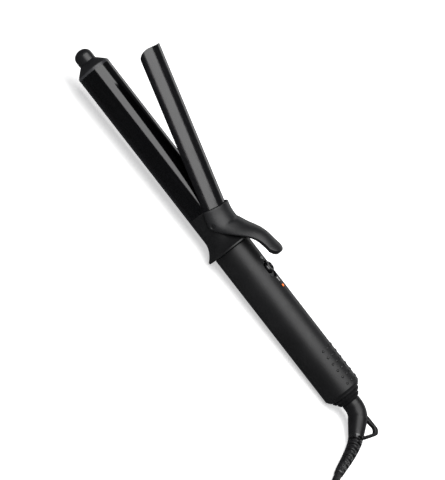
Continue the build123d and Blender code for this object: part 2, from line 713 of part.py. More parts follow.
def swivel_elbow():
    """Stem with its flange, bent arm and hang loop in one moulding."""
    core = rod(socket_back - SOCKET_LENGTH + SOCKET_FLOOR + 0.6, flange_start, STEM_CORE_R)
    flange = rod(flange_start, flange_start + STEM_FLANGE_LENGTH, STEM_FLANGE_R)
    stem = rod(flange_start, elbow_start, STEM_R)
    taper_start = ELBOW_BEND_R * tan(radians(ELBOW_ANGLE / 2)) + 2.0
    corner = elbow_plane_point(elbow_corner, 0)
    path = FilletPolyline((elbow_start, 0, 0), corner, elbow_arm_point(taper_start), radius=ELBOW_BEND_R)
    bend = sweep(Plane(origin=path @ 0, z_dir=path % 0) * Circle(ELBOW_R), path=path)
    arm = elbow_arm_point(1) - elbow_arm_point(0)
    low = Plane(origin=elbow_arm_point(taper_start), z_dir=arm)
    high = Plane(origin=elbow_arm_point(ELBOW_ARM), z_dir=arm)
    cone = loft([low * Circle(ELBOW_R), high * Circle(ELBOW_END_R)])
    return core + flange + stem + bend + cone + hang_loop()


def set_down(shape):
    """Lays the iron on the table: tail down until flange and tail both touch."""
    return Location((0, 0, FLANGE_FLAT * cos(radians(tilt)))) * Rot(0, tilt, 0) * shape


def level_point(point):
    return Vector(*(set_down(Vertex(*point)).center()))


def spread_middle(parts):
    """Middle of the box round the iron without its cord, which the origin stands under."""
    box = Compound(list(parts)).bounding_box()
    return Vector((box.min.X + box.max.X) / 2, (box.min.Y + box.max.Y) / 2, 0)


def strain_relief(start, heading, end, end_heading):
    """Tapered sleeve from the elbow's end down to the table."""
    span = (end - start).length
    path = Spline(start, end, tangents=[heading * span, end_heading * span],
                  tangent_scalars=[RELIEF_EASE, RELIEF_EASE])
    print("strain relief length", round(path.length, 1))
    steps = 5
    sections = []
    for i in range(steps + 1):
        share = i / steps
        radius = ELBOW_END_R + (RELIEF_END_R - ELBOW_END_R) * share
        sections.append(Plane(origin=path @ share, z_dir=path % share) * Circle(radius - TOUCH))
    return loft(sections)


def corner_radii(points):
    """Largest arcs that the runs beside each corner allow."""
    radii = []
    for before, corner, after in zip(points, points[1:], points[2:]):
        run_in, run_out = corner - before, after - corner
        turn = run_in.get_angle(run_out)
        radii.append(0.45 * min(run_in.length, run_out.length) / tan(radians(turn / 2)))
    return radii


def cord_tube(name, points):
    radii = corner_radii(points)
    path = FilletPolyline(*points, radius=radii)
    solid = sweep(Plane(origin=path @ 0, z_dir=path % 0) * Circle(CORD_R), path=path)
    print(name, "radii", [round(r) for r in radii], "length", round(path.length, 1),
          "volume over section times length", round(solid.volume / (pi * CORD_R**2 * path.length), 4))
    return solid


def coil_limits():
    half = COIL_TURNS * COIL_PITCH / 2 + 0.4
    return COIL_MID_R - half, COIL_MID_R + half


def cord_coil(centre):
    """Outer shape of the wound cord: two layers of turns on the tie."""
    inner, outer = coil_limits()
    height = 2 * CORD_R + COIL_LAYER + 0.2
    ring = Cylinder(outer, height) - Cylinder(inner, height)
    ring = fillet(ring.edges().filter_by(GeomType.CIRCLE), 3.0)
    return Location((centre.X, centre.Y, COIL_BASE + height / 2)) * ring


def cord_tie(centre):
    """Band round the bundle on the side of the coil that is away from the iron."""
    inner, outer = coil_limits()
    low, high = 0.1, COIL_BASE + 2 * CORD_R + COIL_LAYER + 0.2 + 0.1 + TIE_WALL
    band = Box(outer - inner + 2.4 + 2 * TIE_WALL, TIE_WIDTH, high - low)
    band -= Box(outer - inner + 1.4, TIE_WIDTH, high - low - 2 * TIE_WALL)
    band = Location(((inner + outer) / 2, 0, (low + high) / 2)) * band
    return Location((centre.X, centre.Y, 0)) * Rot(0, 0, -60) * band


def plug_place(centre):
    x, y, z = CORD_END[-1]
    return Location((centre.X + x, centre.Y + y, z)) * Rot(0, 0, PLUG_HEADING)


def plug_body(centre):
    """Flat two-pin plug body with a waist that the fingers hold."""
    half = PLUG_WIDTH / 2
    outline = [(0, -5.5), (9, -8.0), (17, -half + 1.6), (PLUG_LENGTH, -half),
               (PLUG_LENGTH, half), (17, half - 1.6), (9, 8.0), (0, 5.5)]
    height = PLUG_HEIGHT - 0.4
    body = extrude(make_face(Polyline(*outline, close=True)), height / 2, both=True)
    body = fillet(body.edges().filter_by(Axis.Z), 1.5)
    body = fillet(body.faces().sort_by(Axis.Z)[-1].edges() + body.faces().sort_by(Axis.Z)[0].edges(), 1.2)
    for side in (-1, 1):
        y = side * PLUG_PIN_SPACING / 2
        body -= rod(PLUG_LENGTH - PLUG_PIN_ROOT, PLUG_LENGTH, PLUG_PIN_ROOT_R + TOUCH, y)
    return plug_place(centre) * body


def plug_pins(centre):
    pins = []
    for side in (-1, 1):
        y = side * PLUG_PIN_SPACING / 2
        pin = rod(PLUG_LENGTH, PLUG_LENGTH + PLUG_PIN_LENGTH, PLUG_PIN_R, y)
        pin = fillet(pin.edges().filter_by(GeomType.CIRCLE).sort_by(Axis.X)[-1], 0.6)
        pins.append(pin + rod(PLUG_LENGTH - PLUG_PIN_ROOT, PLUG_LENGTH, PLUG_PIN_ROOT_R, y))
    return Compound([plug_place(centre) * pin for pin in pins])


IRON = {
    "barrel_tube": barrel_tube,
    "tip_ring": tip_ring,
    "tip_cone": tip_cone,
    "tip_knob": tip_knob,
    "tip_plug": tip_plug,
    "tip_screw": tip_screw,
    "barrel_mount": barrel_mount,
    "barrel_mount_screws": barrel_mount_screws,
    "shoulder_housing": shoulder_housing,
    "pivot_pin": pivot_pin,
    "clamp_blade": clamp_blade,
    "blade_rivets": blade_rivets,
    "thumb_lever": thumb_lever,
    "torsion_spring": torsion_spring,
    "heat_spreader_upper": lambda: shoe(1),
    "heat_spreader_lower": lambda: shoe(-1),
    "heater_plate": heater_plate,
    "spreader_springs": spreader_springs,
    "thermal_fuse": thermal_fuse,
    "temperature_sensor": temperature_sensor,
    "heater_leads": heater_leads,
    "handle_sleeve": handle_sleeve,
    "switch_plate": switch_plate,
    "switch_knob": switch_knob,
    "slide_switch_body": slide_switch_body,
    "led_window": led_window,
    "pilot_led": pilot_led,
    "triac": triac,
    "mains_capacitor": mains_capacitor,
    "handle_chassis": handle_chassis,
    "chassis_screws": chassis_screws,
    "circuit_board": circuit_board,
    "board_screws": board_screws,
    "tail_cap": tail_cap,
    "swivel_retainer": swivel_retainer,
    "contact_brushes": contact_brushes,
    "slip_rings": slip_rings,
    "supply_leads": supply_leads,
    "swivel_elbow": swivel_elbow,
}


def build():
    nodes = {name: set_down(make()) for name, make in IRON.items()}
    middle = spread_middle(nodes.values())
    arm_end = level_point(elbow_arm_point(ELBOW_ARM)) - middle
    arm_heading = (level_point(elbow_arm_point(ELBOW_ARM)) - level_point(elbow_arm_point(0))).normalized()
    nodes = {name: Location((-middle.X, -middle.Y, 0)) * solid for name, solid in nodes.items()}

    leave = Vector(arm_end.X + RELIEF_REACH[0], arm_end.Y + RELIEF_REACH[1], RELIEF_END_Z)
    heading = Vector(cos(radians(RELIEF_HEADING)), sin(radians(RELIEF_HEADING)), 0)
    nodes["strain_relief"] = strain_relief(arm_end, arm_heading, leave, heading)

    route = [Vector(leave.X + x, leave.Y + y, z) for x, y, z in CORD_ROUTE]
    nodes["power_cord"] = cord_tube("power_cord", route)
    # The cord runs onto the outer turn of the coil and then to the left round its centre
    outer_turn = COIL_MID_R + (COIL_TURNS - 1) * COIL_PITCH / 2
    last_run = Vector(route[-1].X - route[-2].X, route[-1].Y - route[-2].Y, 0).normalized()
    centre = Vector(route[-1].X, route[-1].Y, 0) + outer_turn * Vector(-last_run.Y, last_run.X, 0)
    nodes["cord_coil"] = cord_coil(centre)
    nodes["cord_tie"] = cord_tie(centre)
    end_route = [Vector(centre.X + x, centre.Y + y, z) for x, y, z in CORD_END]
    nodes["cord_end"] = cord_tube("cord_end", end_route)
    nodes["plug_body"] = plug_body(centre)
    nodes["plug_pins"] = plug_pins(centre)

    pivot = level_point((PIVOT_X, 0, PIVOT_Z)) - middle
    swivel = level_point((elbow_start, 0, 0)) - middle
    print("tilt", round(tilt, 4), "origin under", middle)
    print("pivot", pivot, "swivel", swivel)
    print("arm end", arm_end, "cord leaves relief at", leave)
    print("coil centre", centre)
    return nodes


os.makedirs("parts", exist_ok=True)
for node, solid in build().items():
    export_step(solid, f"parts/{node}.step")
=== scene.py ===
import json
from math import atan2, cos, floor, pi, radians, sin, sqrt, tan

import bmesh
import bpy
from mathutils import Matrix, Vector


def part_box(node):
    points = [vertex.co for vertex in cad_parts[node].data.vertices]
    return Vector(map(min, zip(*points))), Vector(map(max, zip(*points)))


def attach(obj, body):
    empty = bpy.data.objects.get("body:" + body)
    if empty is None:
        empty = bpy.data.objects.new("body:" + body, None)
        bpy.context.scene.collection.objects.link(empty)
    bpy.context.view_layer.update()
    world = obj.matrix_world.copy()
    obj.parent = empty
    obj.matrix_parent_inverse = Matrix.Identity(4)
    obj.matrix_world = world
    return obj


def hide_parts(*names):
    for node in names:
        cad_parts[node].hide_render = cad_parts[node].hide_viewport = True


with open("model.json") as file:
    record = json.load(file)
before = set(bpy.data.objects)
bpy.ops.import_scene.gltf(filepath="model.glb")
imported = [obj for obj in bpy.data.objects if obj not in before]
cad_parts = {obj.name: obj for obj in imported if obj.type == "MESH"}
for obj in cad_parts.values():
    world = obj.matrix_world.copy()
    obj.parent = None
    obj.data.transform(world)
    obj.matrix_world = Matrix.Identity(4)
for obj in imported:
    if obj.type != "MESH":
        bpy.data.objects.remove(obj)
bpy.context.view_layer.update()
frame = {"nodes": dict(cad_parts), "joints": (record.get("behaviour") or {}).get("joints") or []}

# ---------------------------------------------------------------------------------------------
# Viewpoint, table and light. The iron rests on a pale table, on the flat of its flange and on its
# tail. A broad soft light hangs over it, a little towards the viewer, and a slim one stands behind.

joints = {joint["name"]: joint for joint in frame["joints"]}
along = Vector(joints["cord_swivel"]["axis"]).normalized()
SEAM_TO_SWIVEL = 0.1713
side = Vector((0, 1, 0))
seam = Vector(joints["cord_swivel"]["pos_m"]) - SEAM_TO_SWIVEL * along
# The iron's own frame: X from tip to tail along its axis, Z on the clamp's side, 0 at the handle's seam
iron = Matrix.Translation(seam) @ Matrix((along, side, along.cross(side))).transposed().to_4x4()

LOOK_DOWN = radians(28.0)
TURN = radians(50.48)
DISTANCE = 1.5
LENS = 127.06
AIM_ALONG, AIM_ASIDE = -0.0105, 0.002
forward = Vector((0, cos(LOOK_DOWN), -sin(LOOK_DOWN)))
level = Vector((1, 0, 0))
upright = level.cross(forward)
right = cos(TURN) * level + sin(TURN) * upright
top = cos(TURN) * upright - sin(TURN) * level
target = iron @ Vector((AIM_ALONG, 0, 0)) - AIM_ASIDE * along.cross(forward).normalized()

camera_data = bpy.data.cameras.new("camera")
camera_data.lens = LENS
camera = bpy.data.objects.new("camera", camera_data)
bpy.context.scene.collection.objects.link(camera)
camera.matrix_world = (Matrix.Translation(target - DISTANCE * forward)
                       @ Matrix((right, top, -forward)).transposed().to_4x4())
bpy.context.scene.camera = camera
bpy.context.scene.view_settings.view_transform = "Standard"


def soft_light(name, place, aim, size_x, size_y, power):
    """Rectangular softbox that faces the point it is aimed at."""
    data = bpy.data.lights.new(name, "AREA")
    data.shape = "RECTANGLE"
    data.size, data.size_y, data.energy = size_x, size_y, power
    lamp = bpy.data.objects.new(name, data)
    lamp.location = place
    lamp.rotation_euler = (Vector(aim) - Vector(place)).to_track_quat("-Z", "Y").to_euler()
    bpy.context.scene.collection.objects.link(lamp)


soft_light("overhead_light", place=(0.0, -0.42, 0.98), aim=(0.0, -0.02, 0.0), size_x=1.15, size_y=1.20,
           power=18.5)
soft_light("rear_light", place=(0.0, 1.50, 0.42), aim=(0.0, 0.0, 0.02), size_x=2.4, size_y=0.60, power=5.0)

world = bpy.data.worlds.new("studio")
world.use_nodes = True
world.node_tree.nodes["Background"].inputs["Color"].default_value = (0.62, 0.64, 0.68, 1)
world.node_tree.nodes["Background"].inputs["Strength"].default_value = 0.11
bpy.context.scene.world = world


def made_object(name, mesh):
    """Links a finished mesh whose place is in its vertices."""
    piece = bpy.data.objects.new(name, mesh)
    bpy.context.scene.collection.objects.link(piece)
    return piece


class Wire:
    """An output of a pattern node, on which sums can be written as sums."""

    def __init__(self, finish, socket):
        self.finish, self.socket = finish, socket

    def _with(self, operation, first, second):
        return self.finish.node("ShaderNodeMath", {"operation": operation}, {0: first, 1: second})

    def __add__(self, other):
        return self._with("ADD", self, other)

    def __radd__(self, other):
        return self._with("ADD", other, self)

    def __sub__(self, other):
        return self._with("SUBTRACT", self, other)

    def __rsub__(self, other):
        return self._with("SUBTRACT", other, self)

    def __mul__(self, other):
        return self._with("MULTIPLY", self, other)

    def __rmul__(self, other):
        return self._with("MULTIPLY", other, self)


class Finish:
    """One material: a Principled shader and the pattern nodes that feed it."""

    def __init__(self, name, **steady):
        self.material = bpy.data.materials.new(name)
        self.material.use_nodes = True
        self.tree = self.material.node_tree
        self.shader = self.tree.nodes["Principled BSDF"]
        self.place = self.node("ShaderNodeTexCoord", {}, {}, "Object")
        self.set(**steady)

    def node(self, kind, settings, sockets, output=0):
        """Makes a node: its settings first, then the values or wires of its sockets."""
        made = self.tree.nodes.new(kind)
        for name, value in settings.items():
            if name == "stops":
                while len(made.color_ramp.elements) < len(value):
                    made.color_ramp.elements.new(1.0)
                for element, (position, shade) in zip(made.color_ramp.elements, value):
                    element.position, element.color = position, (shade, shade, shade, 1)
            else:
                setattr(made, name, value)
        for name, value in sockets.items():
            if isinstance(value, Wire):
                self.tree.links.new(value.socket, made.inputs[name])
            else:
                made.inputs[name].default_value = value
        return Wire(self, made.outputs[output])

    def set(self, **values):
        """Sets or wires the shader's sockets, such as Base_Color."""
        for name, value in values.items():
            socket = self.shader.inputs[name.replace("_", " ")]
            if isinstance(value, Wire):
                self.tree.links.new(value.socket, socket)
            else:
                socket.default_value = value

    def noise(self, scale, detail=2.0, stretch=(1, 1, 1)):
        """Cloudy pattern from 0 to 1. Scale is in bumps per metre."""
        placed = self.node("ShaderNodeMapping", {}, {"Vector": self.place, "Scale": stretch})
        return self.node("ShaderNodeTexNoise", {}, {"Vector": placed, "Scale": scale, "Detail": detail})

    def ramp(self, factor, low, high):
        """Spreads a pattern's range low..high over 0..1."""
        return self.node("ShaderNodeMapRange", {}, {"Value": factor, "From Min": low, "From Max": high})

    def between(self, factor, first, second):
        """Colour between two colours."""
        return self.node("ShaderNodeMix", {"data_type": "RGBA"},
                         {0: factor, 6: (*first, 1), 7: (*second, 1)}, 2)

    def bump(self, height, distance, strength=1.0):
        sockets = {"Height": height, "Distance": distance, "Strength": strength}
        self.set(Normal=self.node("ShaderNodeBump", {}, sockets))


def moulded(name, dark, light, roughness, spread, grain, depth, **steady):
    """Plastic or rubber from a spark-eroded mould: fine grain, faint clouds and a little handling wear."""
    finish = Finish(name, **steady)
    cloud = finish.ramp(finish.noise(55.0, 3.0), 0.35, 0.65)
    fine = finish.noise(grain, 2.0)
    rubbed = finish.ramp(finish.noise(210.0, 4.0), 0.45, 0.8)
    finish.set(Base_Color=finish.between(cloud * 0.6 + fine * 0.4, dark, light))
    finish.set(Roughness=roughness + spread * (cloud - 0.5) - 0.6 * spread * rubbed)
    finish.bump(fine + 0.25 * rubbed, depth, 0.6)
    return finish.material


table = Finish("table_top", Specular_IOR_Level=0.2, Emission_Color=(1, 1, 1, 1), Emission_Strength=0.5)
table_grain = table.noise(9.0, 3.0)
table.set(Base_Color=table.between(table_grain, (0.92, 0.92, 0.915), (0.95, 0.95, 0.95)))
table.set(Roughness=0.78 + 0.1 * table.noise(160.0))
table_mesh = bpy.data.meshes.new("table")
TABLE_HALF = 4.0
TABLE_Z = -0.0002
table_mesh.from_pydata([(x * TABLE_HALF, y * TABLE_HALF, TABLE_Z)
                        for x, y in ((-1, -1), (1, -1), (1, 1), (-1, 1))], [], [(0, 1, 2, 3)])
table_mesh.materials.append(table.material)
table_top = made_object("table", table_mesh)
table_top.visible_glossy = False  # its reflection is kept out of the glossy coats, as by a black card

# ---------------------------------------------------------------------------------------------
# Mains lead. Round black flex with a smooth jacket. It leaves its sleeve on the table and is put
# away in a neat coil of two layers, with its two-pin plug beside it. One line runs from end to end.

CORD_R = 0.0032
leave = Vector((0.211007, -0.075519, 0.0))
route = [leave + Vector(offset) for offset in [
    (0.0, 0.0, 0.0046),
    (0.0016, -0.0164, 0.0041),
    (0.0084, -0.0330, 0.0036),
    (0.0216, -0.0480, 0.0034),
    (0.0426, -0.0588, 0.0039),
    (0.0690, -0.0648, 0.0044),
]]
BOTTOM_TURNS = (0.0503, 0.0439, 0.0375, 0.0311, 0.0247)
TOP_TURNS = (0.0279, 0.0343, 0.0407)
BOTTOM_Z, TOP_Z = 0.0044, 0.0100
last_run = (route[-1] - route[-2]).xy.normalized()
coil_centre = Vector((route[-1].x, route[-1].y, 0)) + BOTTOM_TURNS[0] * Vector((-last_run.y, last_run.x, 0))
end_route = [coil_centre + Vector(offset) for offset in [
    (0.0407, 0.0040, 0.0102),
    (0.0412, 0.0170, 0.0112),
    (0.0426, 0.0320, 0.0104),
    (0.0430, 0.0480, 0.0072),
]]

POINTS_PER_TURN = 24
CHANGE = 0.22  # share of a turn in which the flex moves over to its next turn
CHANGE_LIFT = 0.0005
LAST_TURN_SHORT = radians(6.0)
step = 2 * pi / POINTS_PER_TURN
# Control points stand a little outside the line that they make
reach_out = 2 / (cos(step / 2) + 0.75 + 0.25 * cos(step))
radii = BOTTOM_TURNS + TOP_TURNS
heights = [BOTTOM_Z] * len(BOTTOM_TURNS) + [TOP_Z] * len(TOP_TURNS)
first_angle = atan2(route[-1].y - coil_centre.y, route[-1].x - coil_centre.x)
whole_turns = len(radii) - 1
last_angle = 2 * pi * whole_turns - LAST_TURN_SHORT
coil_points = []
for i in range(1, floor((last_angle - first_angle) / step) + 1):
    turned_by = i * step
    turn, share = divmod(turned_by / (2 * pi), 1.0)
    turn = int(turn)
    following = min(turn + 1, len(radii) - 1)
    ease = max(0.0, (share - 1 + CHANGE) / CHANGE)
    ease = ease * ease * (3 - 2 * ease)
    radius = radii[turn] + (radii[following] - radii[turn]) * ease
    height = heights[turn] + (heights[following] - heights[turn]) * ease
    if turn >= len(BOTTOM_TURNS):
        height += CHANGE_LIFT * sin(pi * ease)
    angle = first_angle + turned_by
    coil_points.append(coil_centre + Vector((radius * reach_out * cos(angle),
                                             radius * reach_out * sin(angle), height)))

lead_curve = bpy.data.curves.new("mains_lead", "CURVE")
lead_curve.dimensions = "3D"
lead_line = lead_curve.splines.new("NURBS")
lead_points = route + coil_points + end_route
lead_line.points.add(len(lead_points) - 1)
for point, place in zip(lead_line.points, lead_points):
    point.co = (*place, 1)
lead_line.order_u = 3
lead_line.use_endpoint_u = True
lead_curve.resolution_u = 5
lead_curve.bevel_depth = CORD_R
lead_curve.bevel_resolution = 5
lead_curve.use_fill_caps = True
lead = made_object("mains_lead", lead_curve)

jacket = moulded("flex_jacket", (0.0050, 0.0050, 0.0055), (0.0100, 0.0100, 0.0108),
                 roughness=0.40, spread=0.12, grain=1900.0, depth=0.00006, Specular_IOR_Level=0.42)
lead_curve.materials.append(jacket)

# ---------------------------------------------------------------------------------------------
# Strain relief. Flexible sleeve of soft black rubber, moulded onto the flex: a plain collar at the
# swivel arm, then slots that open to the left and the right in turn, so that it bends gradually.

ELBOW_CORNER = 0.1840
ELBOW_ANGLE = radians(55.8)
ELBOW_DROP = radians(20.0)
ELBOW_ARM = 0.0246
ELBOW_END_R = 0.0068
RELIEF_END_R = 0.0040
RELIEF_HEADING = radians(-84.0)
RELIEF_EASE = 0.7
RELIEF_SLOTS = 13
SLOT_DEPTH = 0.0021
CORE_R = 0.0034
RELIEF_GAP = 0.00003
COLLAR_SHARE, SLOTS_END_SHARE = 0.045, 0.94
SLOT_HALF_WIDTH, SLOT_EDGE = 0.38, 0.09  # shares of the slots' spacing
SPINE_STEEPNESS, SPINE_REACH = 5.0, 0.30


def elbow_point(distance):
    """Point on the swivel arm's centre line, measured from its corner."""
    along_iron = ELBOW_CORNER + distance * cos(ELBOW_ANGLE)
    aside = distance * sin(ELBOW_ANGLE)
    return iron @ Vector((along_iron, -aside * cos(ELBOW_DROP), -aside * sin(ELBOW_DROP)))


def eased(start, start_pull, end, end_pull, share):
    """Point on the smooth curve between two ends with given pulls."""
    a, b = share * share * (3 - 2 * share), share * (1 - share)
    return start * (1 - a) + end * a + start_pull * b * (1 - share) - end_pull * b * share


def ring_tube(name, line, radius_at, around):
    """Closed tube along a line of points. radius_at(share, angle) gives its radius."""
    mesh = bmesh.new()
    rings, up = [], Vector((0, 0, 1))
    for i, centre in enumerate(line):
        ahead = line[min(i + 1, len(line) - 1)] - line[max(i - 1, 0)]
        across = ahead.cross(up).normalized()
        lift = across.cross(ahead).normalized()
        ring = []
        for j in range(around):
            angle = 2 * pi * j / around
            radius = radius_at(i / (len(line) - 1), angle)
            ring.append(mesh.verts.new(centre + radius * (cos(angle) * lift + sin(angle) * across)))
        rings.append(ring)
    for first, second in zip(rings, rings[1:]):
        for j in range(around):
            k = (j + 1) % around
            mesh.faces.new((first[j], first[k], second[k], second[j]))
    mesh.faces.new(list(reversed(rings[0])))
    mesh.faces.new(rings[-1])
    bmesh.ops.recalc_face_normals(mesh, faces=mesh.faces)
    data = bpy.data.meshes.new(name)
    mesh.to_mesh(data)
    mesh.free()
    data.shade_smooth()
    return data


def relief_radius(share, angle):
    """Taper of the sleeve with its slots. Every second slot opens on the other side."""
    radius = ELBOW_END_R + (RELIEF_END_R - ELBOW_END_R) * share - RELIEF_GAP
    slotted = (share - COLLAR_SHARE) / (SLOTS_END_SHARE - COLLAR_SHARE) * RELIEF_SLOTS
    if not 0 < slotted < RELIEF_SLOTS:
        return radius
    number, within = divmod(slotted, 1.0)
    opens = 1 if int(number) % 2 else -1
    groove = min(1.0, max(0.0, (SLOT_HALF_WIDTH - abs(within - 0.5)) / SLOT_EDGE))
    spine = min(1.0, max(0.0, SPINE_STEEPNESS * (sin(angle) * opens + SPINE_REACH)))
    groove, spine = (v * v * (3 - 2 * v) for v in (groove, spine))
    return radius - min(SLOT_DEPTH, radius - CORE_R) * groove * spine


arm_end = elbow_point(ELBOW_ARM)
arm_heading = (arm_end - elbow_point(0)).normalized()
span = RELIEF_EASE * (route[0] - arm_end).length
end_heading = Vector((cos(RELIEF_HEADING), sin(RELIEF_HEADING), 0))
RELIEF_STATIONS = 420
relief_line = [eased(arm_end, arm_heading * span, route[0], end_heading * span, i / RELIEF_STATIONS)
               for i in range(RELIEF_STATIONS + 1)]
relief = made_object("relief_sleeve", ring_tube("relief_sleeve", relief_line, relief_radius, 64))
relief_rubber = moulded("relief_rubber", (0.0045, 0.0045, 0.0050), (0.0090, 0.0090, 0.0098),
                        roughness=0.30, spread=0.12, grain=1500.0, depth=0.00006, Specular_IOR_Level=0.9)
relief.data.materials.append(relief_rubber)
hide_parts("strain_relief")
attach(relief, "swivel")

# ---------------------------------------------------------------------------------------------
# Tie of the coil. Strap of black hook-and-loop tape, wrapped round the bundle of turns, with its
# end lapped over itself. Its outer face is a mat of fine loops.

TIE_ANGLE = radians(-60.0)
TIE_HALF_WIDTH = 0.0050
TIE_WALL = 0.0009
BUNDLE_IN, BUNDLE_OUT = 0.0209, 0.0541
TIE_LOW, TIE_HIGH = 0.00065, 0.0139
TIE_ROUND = 0.0048
LAP_INSET, LAP_STEP, LAP_ROWS = 0.006, 0.002, 8
LAP_LIFT, LAP_THICKNESS = 0.5, 0.7  # shares of the tape's wall
LAP_NARROWED = 0.78


def strap_outline(grow):
    """Rounded rectangle about the bundle's section: distances from the coil's centre, and heights."""
    points = []
    corners = [(BUNDLE_OUT, TIE_LOW, -90), (BUNDLE_OUT, TIE_HIGH, 0),
               (BUNDLE_IN, TIE_HIGH, 90), (BUNDLE_IN, TIE_LOW, 180)]
    for distance, height, start in corners:
        inward_x = -TIE_ROUND if distance == BUNDLE_OUT else TIE_ROUND
        inward_z = TIE_ROUND if height == TIE_LOW else -TIE_ROUND
        for i in range(9):
            angle = radians(start + 90 * i / 8)
            points.append((distance + inward_x + (TIE_ROUND + grow) * cos(angle),
                           height + inward_z + (TIE_ROUND + grow) * sin(angle)))
    return points


strap = bmesh.new()
outward = Vector((cos(TIE_ANGLE), sin(TIE_ANGLE), 0))
sideways = Vector((-sin(TIE_ANGLE), cos(TIE_ANGLE), 0))
loops = []
for grow, width in ((0, -1), (TIE_WALL, -1), (TIE_WALL, 1), (0, 1)):
    loops.append([strap.verts.new(coil_centre + outward * d + sideways * width * TIE_HALF_WIDTH
                                  + Vector((0, 0, h)))
                  for d, h in strap_outline(grow - TIE_WALL / 2)])
for first, second in zip(loops, loops[1:] + loops[:1]):
    for j in range(len(first)):
        k = (j + 1) % len(first)
        strap.faces.new((first[j], first[k], second[k], second[j]))
# The lapped end, a second thickness on the top
lap = [(BUNDLE_OUT - LAP_INSET - LAP_STEP * i, TIE_HIGH + TIE_WALL * LAP_LIFT) for i in range(LAP_ROWS)]
lap_rows = []
for i, (d, h) in enumerate(lap):
    trim = LAP_NARROWED if i == len(lap) - 1 else 1.0
    lap_rows.append([strap.verts.new(coil_centre + outward * d + sideways * w * trim * TIE_HALF_WIDTH
                                     + Vector((0, 0, h + z * TIE_WALL * LAP_THICKNESS)))
                     for w, z in ((-1, 0), (-1, 1), (1, 1), (1, 0))])
for first, second in zip(lap_rows, lap_rows[1:]):
    for j in range(4):
        k = (j + 1) % 4
        strap.faces.new((first[j], first[k], second[k], second[j]))
strap.faces.new(lap_rows[0])
strap.faces.new(list(reversed(lap_rows[-1])))
bmesh.ops.recalc_face_normals(strap, faces=strap.faces)
strap_mesh = bpy.data.meshes.new("coil_strap")
strap.to_mesh(strap_mesh)
strap.free()
strap_mesh.shade_smooth()
strap_mesh.set_sharp_from_angle(angle=radians(40))
tie = made_object("coil_strap", strap_mesh)
tape = Finish("loop_tape", Roughness=0.92, Specular_IOR_Level=0.2)
tape_nap = tape.noise(2600.0, 3.0)
tape_rib = tape.node("ShaderNodeTexWave", {"bands_direction": "Z"},
                     {"Vector": tape.place, "Scale": 420.0, "Distortion": 2.0})
tape.set(Base_Color=tape.between(tape_nap, (0.012, 0.012, 0.013), (0.040, 0.040, 0.042)))
tape.bump(tape_nap + 0.5 * tape_rib, 0.0003)
strap_mesh.materials.append(tape.material)
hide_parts("cord_tie")
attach(tie, "swivel")

# ---------------------------------------------------------------------------------------------
# Plug. Flat two-pin body of hard black plastic, moulded round its plated brass pins, with finger
# ridges on its faces and a short sleeve over the flex.

nodes = frame["nodes"]


def coat(node, material):
    """Gives a node of the frame a better material."""
    for slot in nodes[node].material_slots:
        slot.material = material


def softened(name, node, voxel, passes):
    """Copy of a node's mesh with its edges rounded over, as a soft moulding has them."""
    work = bmesh.new()
    work.from_mesh(nodes[node].data)
    bmesh.ops.remove_doubles(work, verts=work.verts, dist=0.000002)
    data = bpy.data.meshes.new(name)
    work.to_mesh(data)
    work.free()
    data.materials.clear()
    rough = made_object(name + "_rough", data)
    remesh = rough.modifiers.new("remesh", "REMESH")
    remesh.mode, remesh.voxel_size = "VOXEL", voxel
    smooth = rough.modifiers.new("smooth", "SMOOTH")
    smooth.factor, smooth.iterations = 0.5, passes
    done = bpy.data.meshes.new_from_object(rough.evaluated_get(bpy.context.evaluated_depsgraph_get()))
    bpy.data.objects.remove(rough)
    done.name = name
    done.shade_smooth()
    return made_object(name, done)


plug = softened("plug_moulding", "plug_body", 0.00042, 4)
plug_plastic = moulded("plug_plastic", (0.0060, 0.0060, 0.0066), (0.0120, 0.0120, 0.0130),
                       roughness=0.42, spread=0.12, grain=1300.0, depth=0.0001, Specular_IOR_Level=0.42)
plug.data.materials.append(plug_plastic)
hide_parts("plug_body")
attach(plug, "swivel")


def metal(name, dark, light, roughness, spread, stretch):
    """Bare or plated metal with drawn or turned lines."""
    finish = Finish(name, Metallic=1.0)
    lines = finish.noise(700.0, 4.0, stretch)
    stain = finish.ramp(finish.noise(90.0, 3.0), 0.35, 0.7)
    finish.set(Base_Color=finish.between(0.5 * lines + 0.5 * stain, dark, light))
    finish.set(Roughness=roughness + spread * lines + 0.5 * spread * stain)
    finish.bump(lines, 0.00003, 0.5)
    return finish.material


plated = metal("plated_brass", (0.62, 0.60, 0.55), (0.78, 0.77, 0.73), 0.20, 0.14, (6, 0.5, 6))
coat("plug_pins", plated)

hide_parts("power_cord", "cord_coil", "cord_end")
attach(lead, "swivel")

# ---------------------------------------------------------------------------------------------
# Heated barrel. Drawn aluminium tube with a baked, glossy black ceramic coat. It is polished round
# its axis, which leaves hair-fine marks across its length, and hair rubs them lengthwise.


def glossy_coat(name, dark, light, roughness, spread):
    """Baked glossy coat, polished round its axis and rubbed lengthwise."""
    finish = Finish(name, Specular_IOR_Level=0.5)
    polish = finish.noise(60.0, 2.0, (40, 1, 1))
    rub = finish.ramp(finish.noise(45.0, 4.0, (0.4, 6, 6)), 0.5, 0.75)
    peel = finish.noise(420.0, 1.0)
    finish.set(Base_Color=finish.between(0.5 * polish + 0.5 * rub, dark, light))
    finish.set(Roughness=roughness + spread * rub + 0.5 * spread * polish)
    finish.bump(0.6 * peel + 0.4 * polish, 0.000012, 0.5)
    return finish.material


barrel_coat = glossy_coat("barrel_ceramic", (0.0008, 0.0008, 0.001), (0.0030, 0.0030, 0.0034), 0.09, 0.06)
coat("barrel_tube", barrel_coat)

# ---------------------------------------------------------------------------------------------
# Cool tip. Ring, cone and knob of black heat-resistant plastic. The ring is lighter, the cone has
# a small chamfer at its foot, and the knob is a short rounded stub that two fingers can hold.


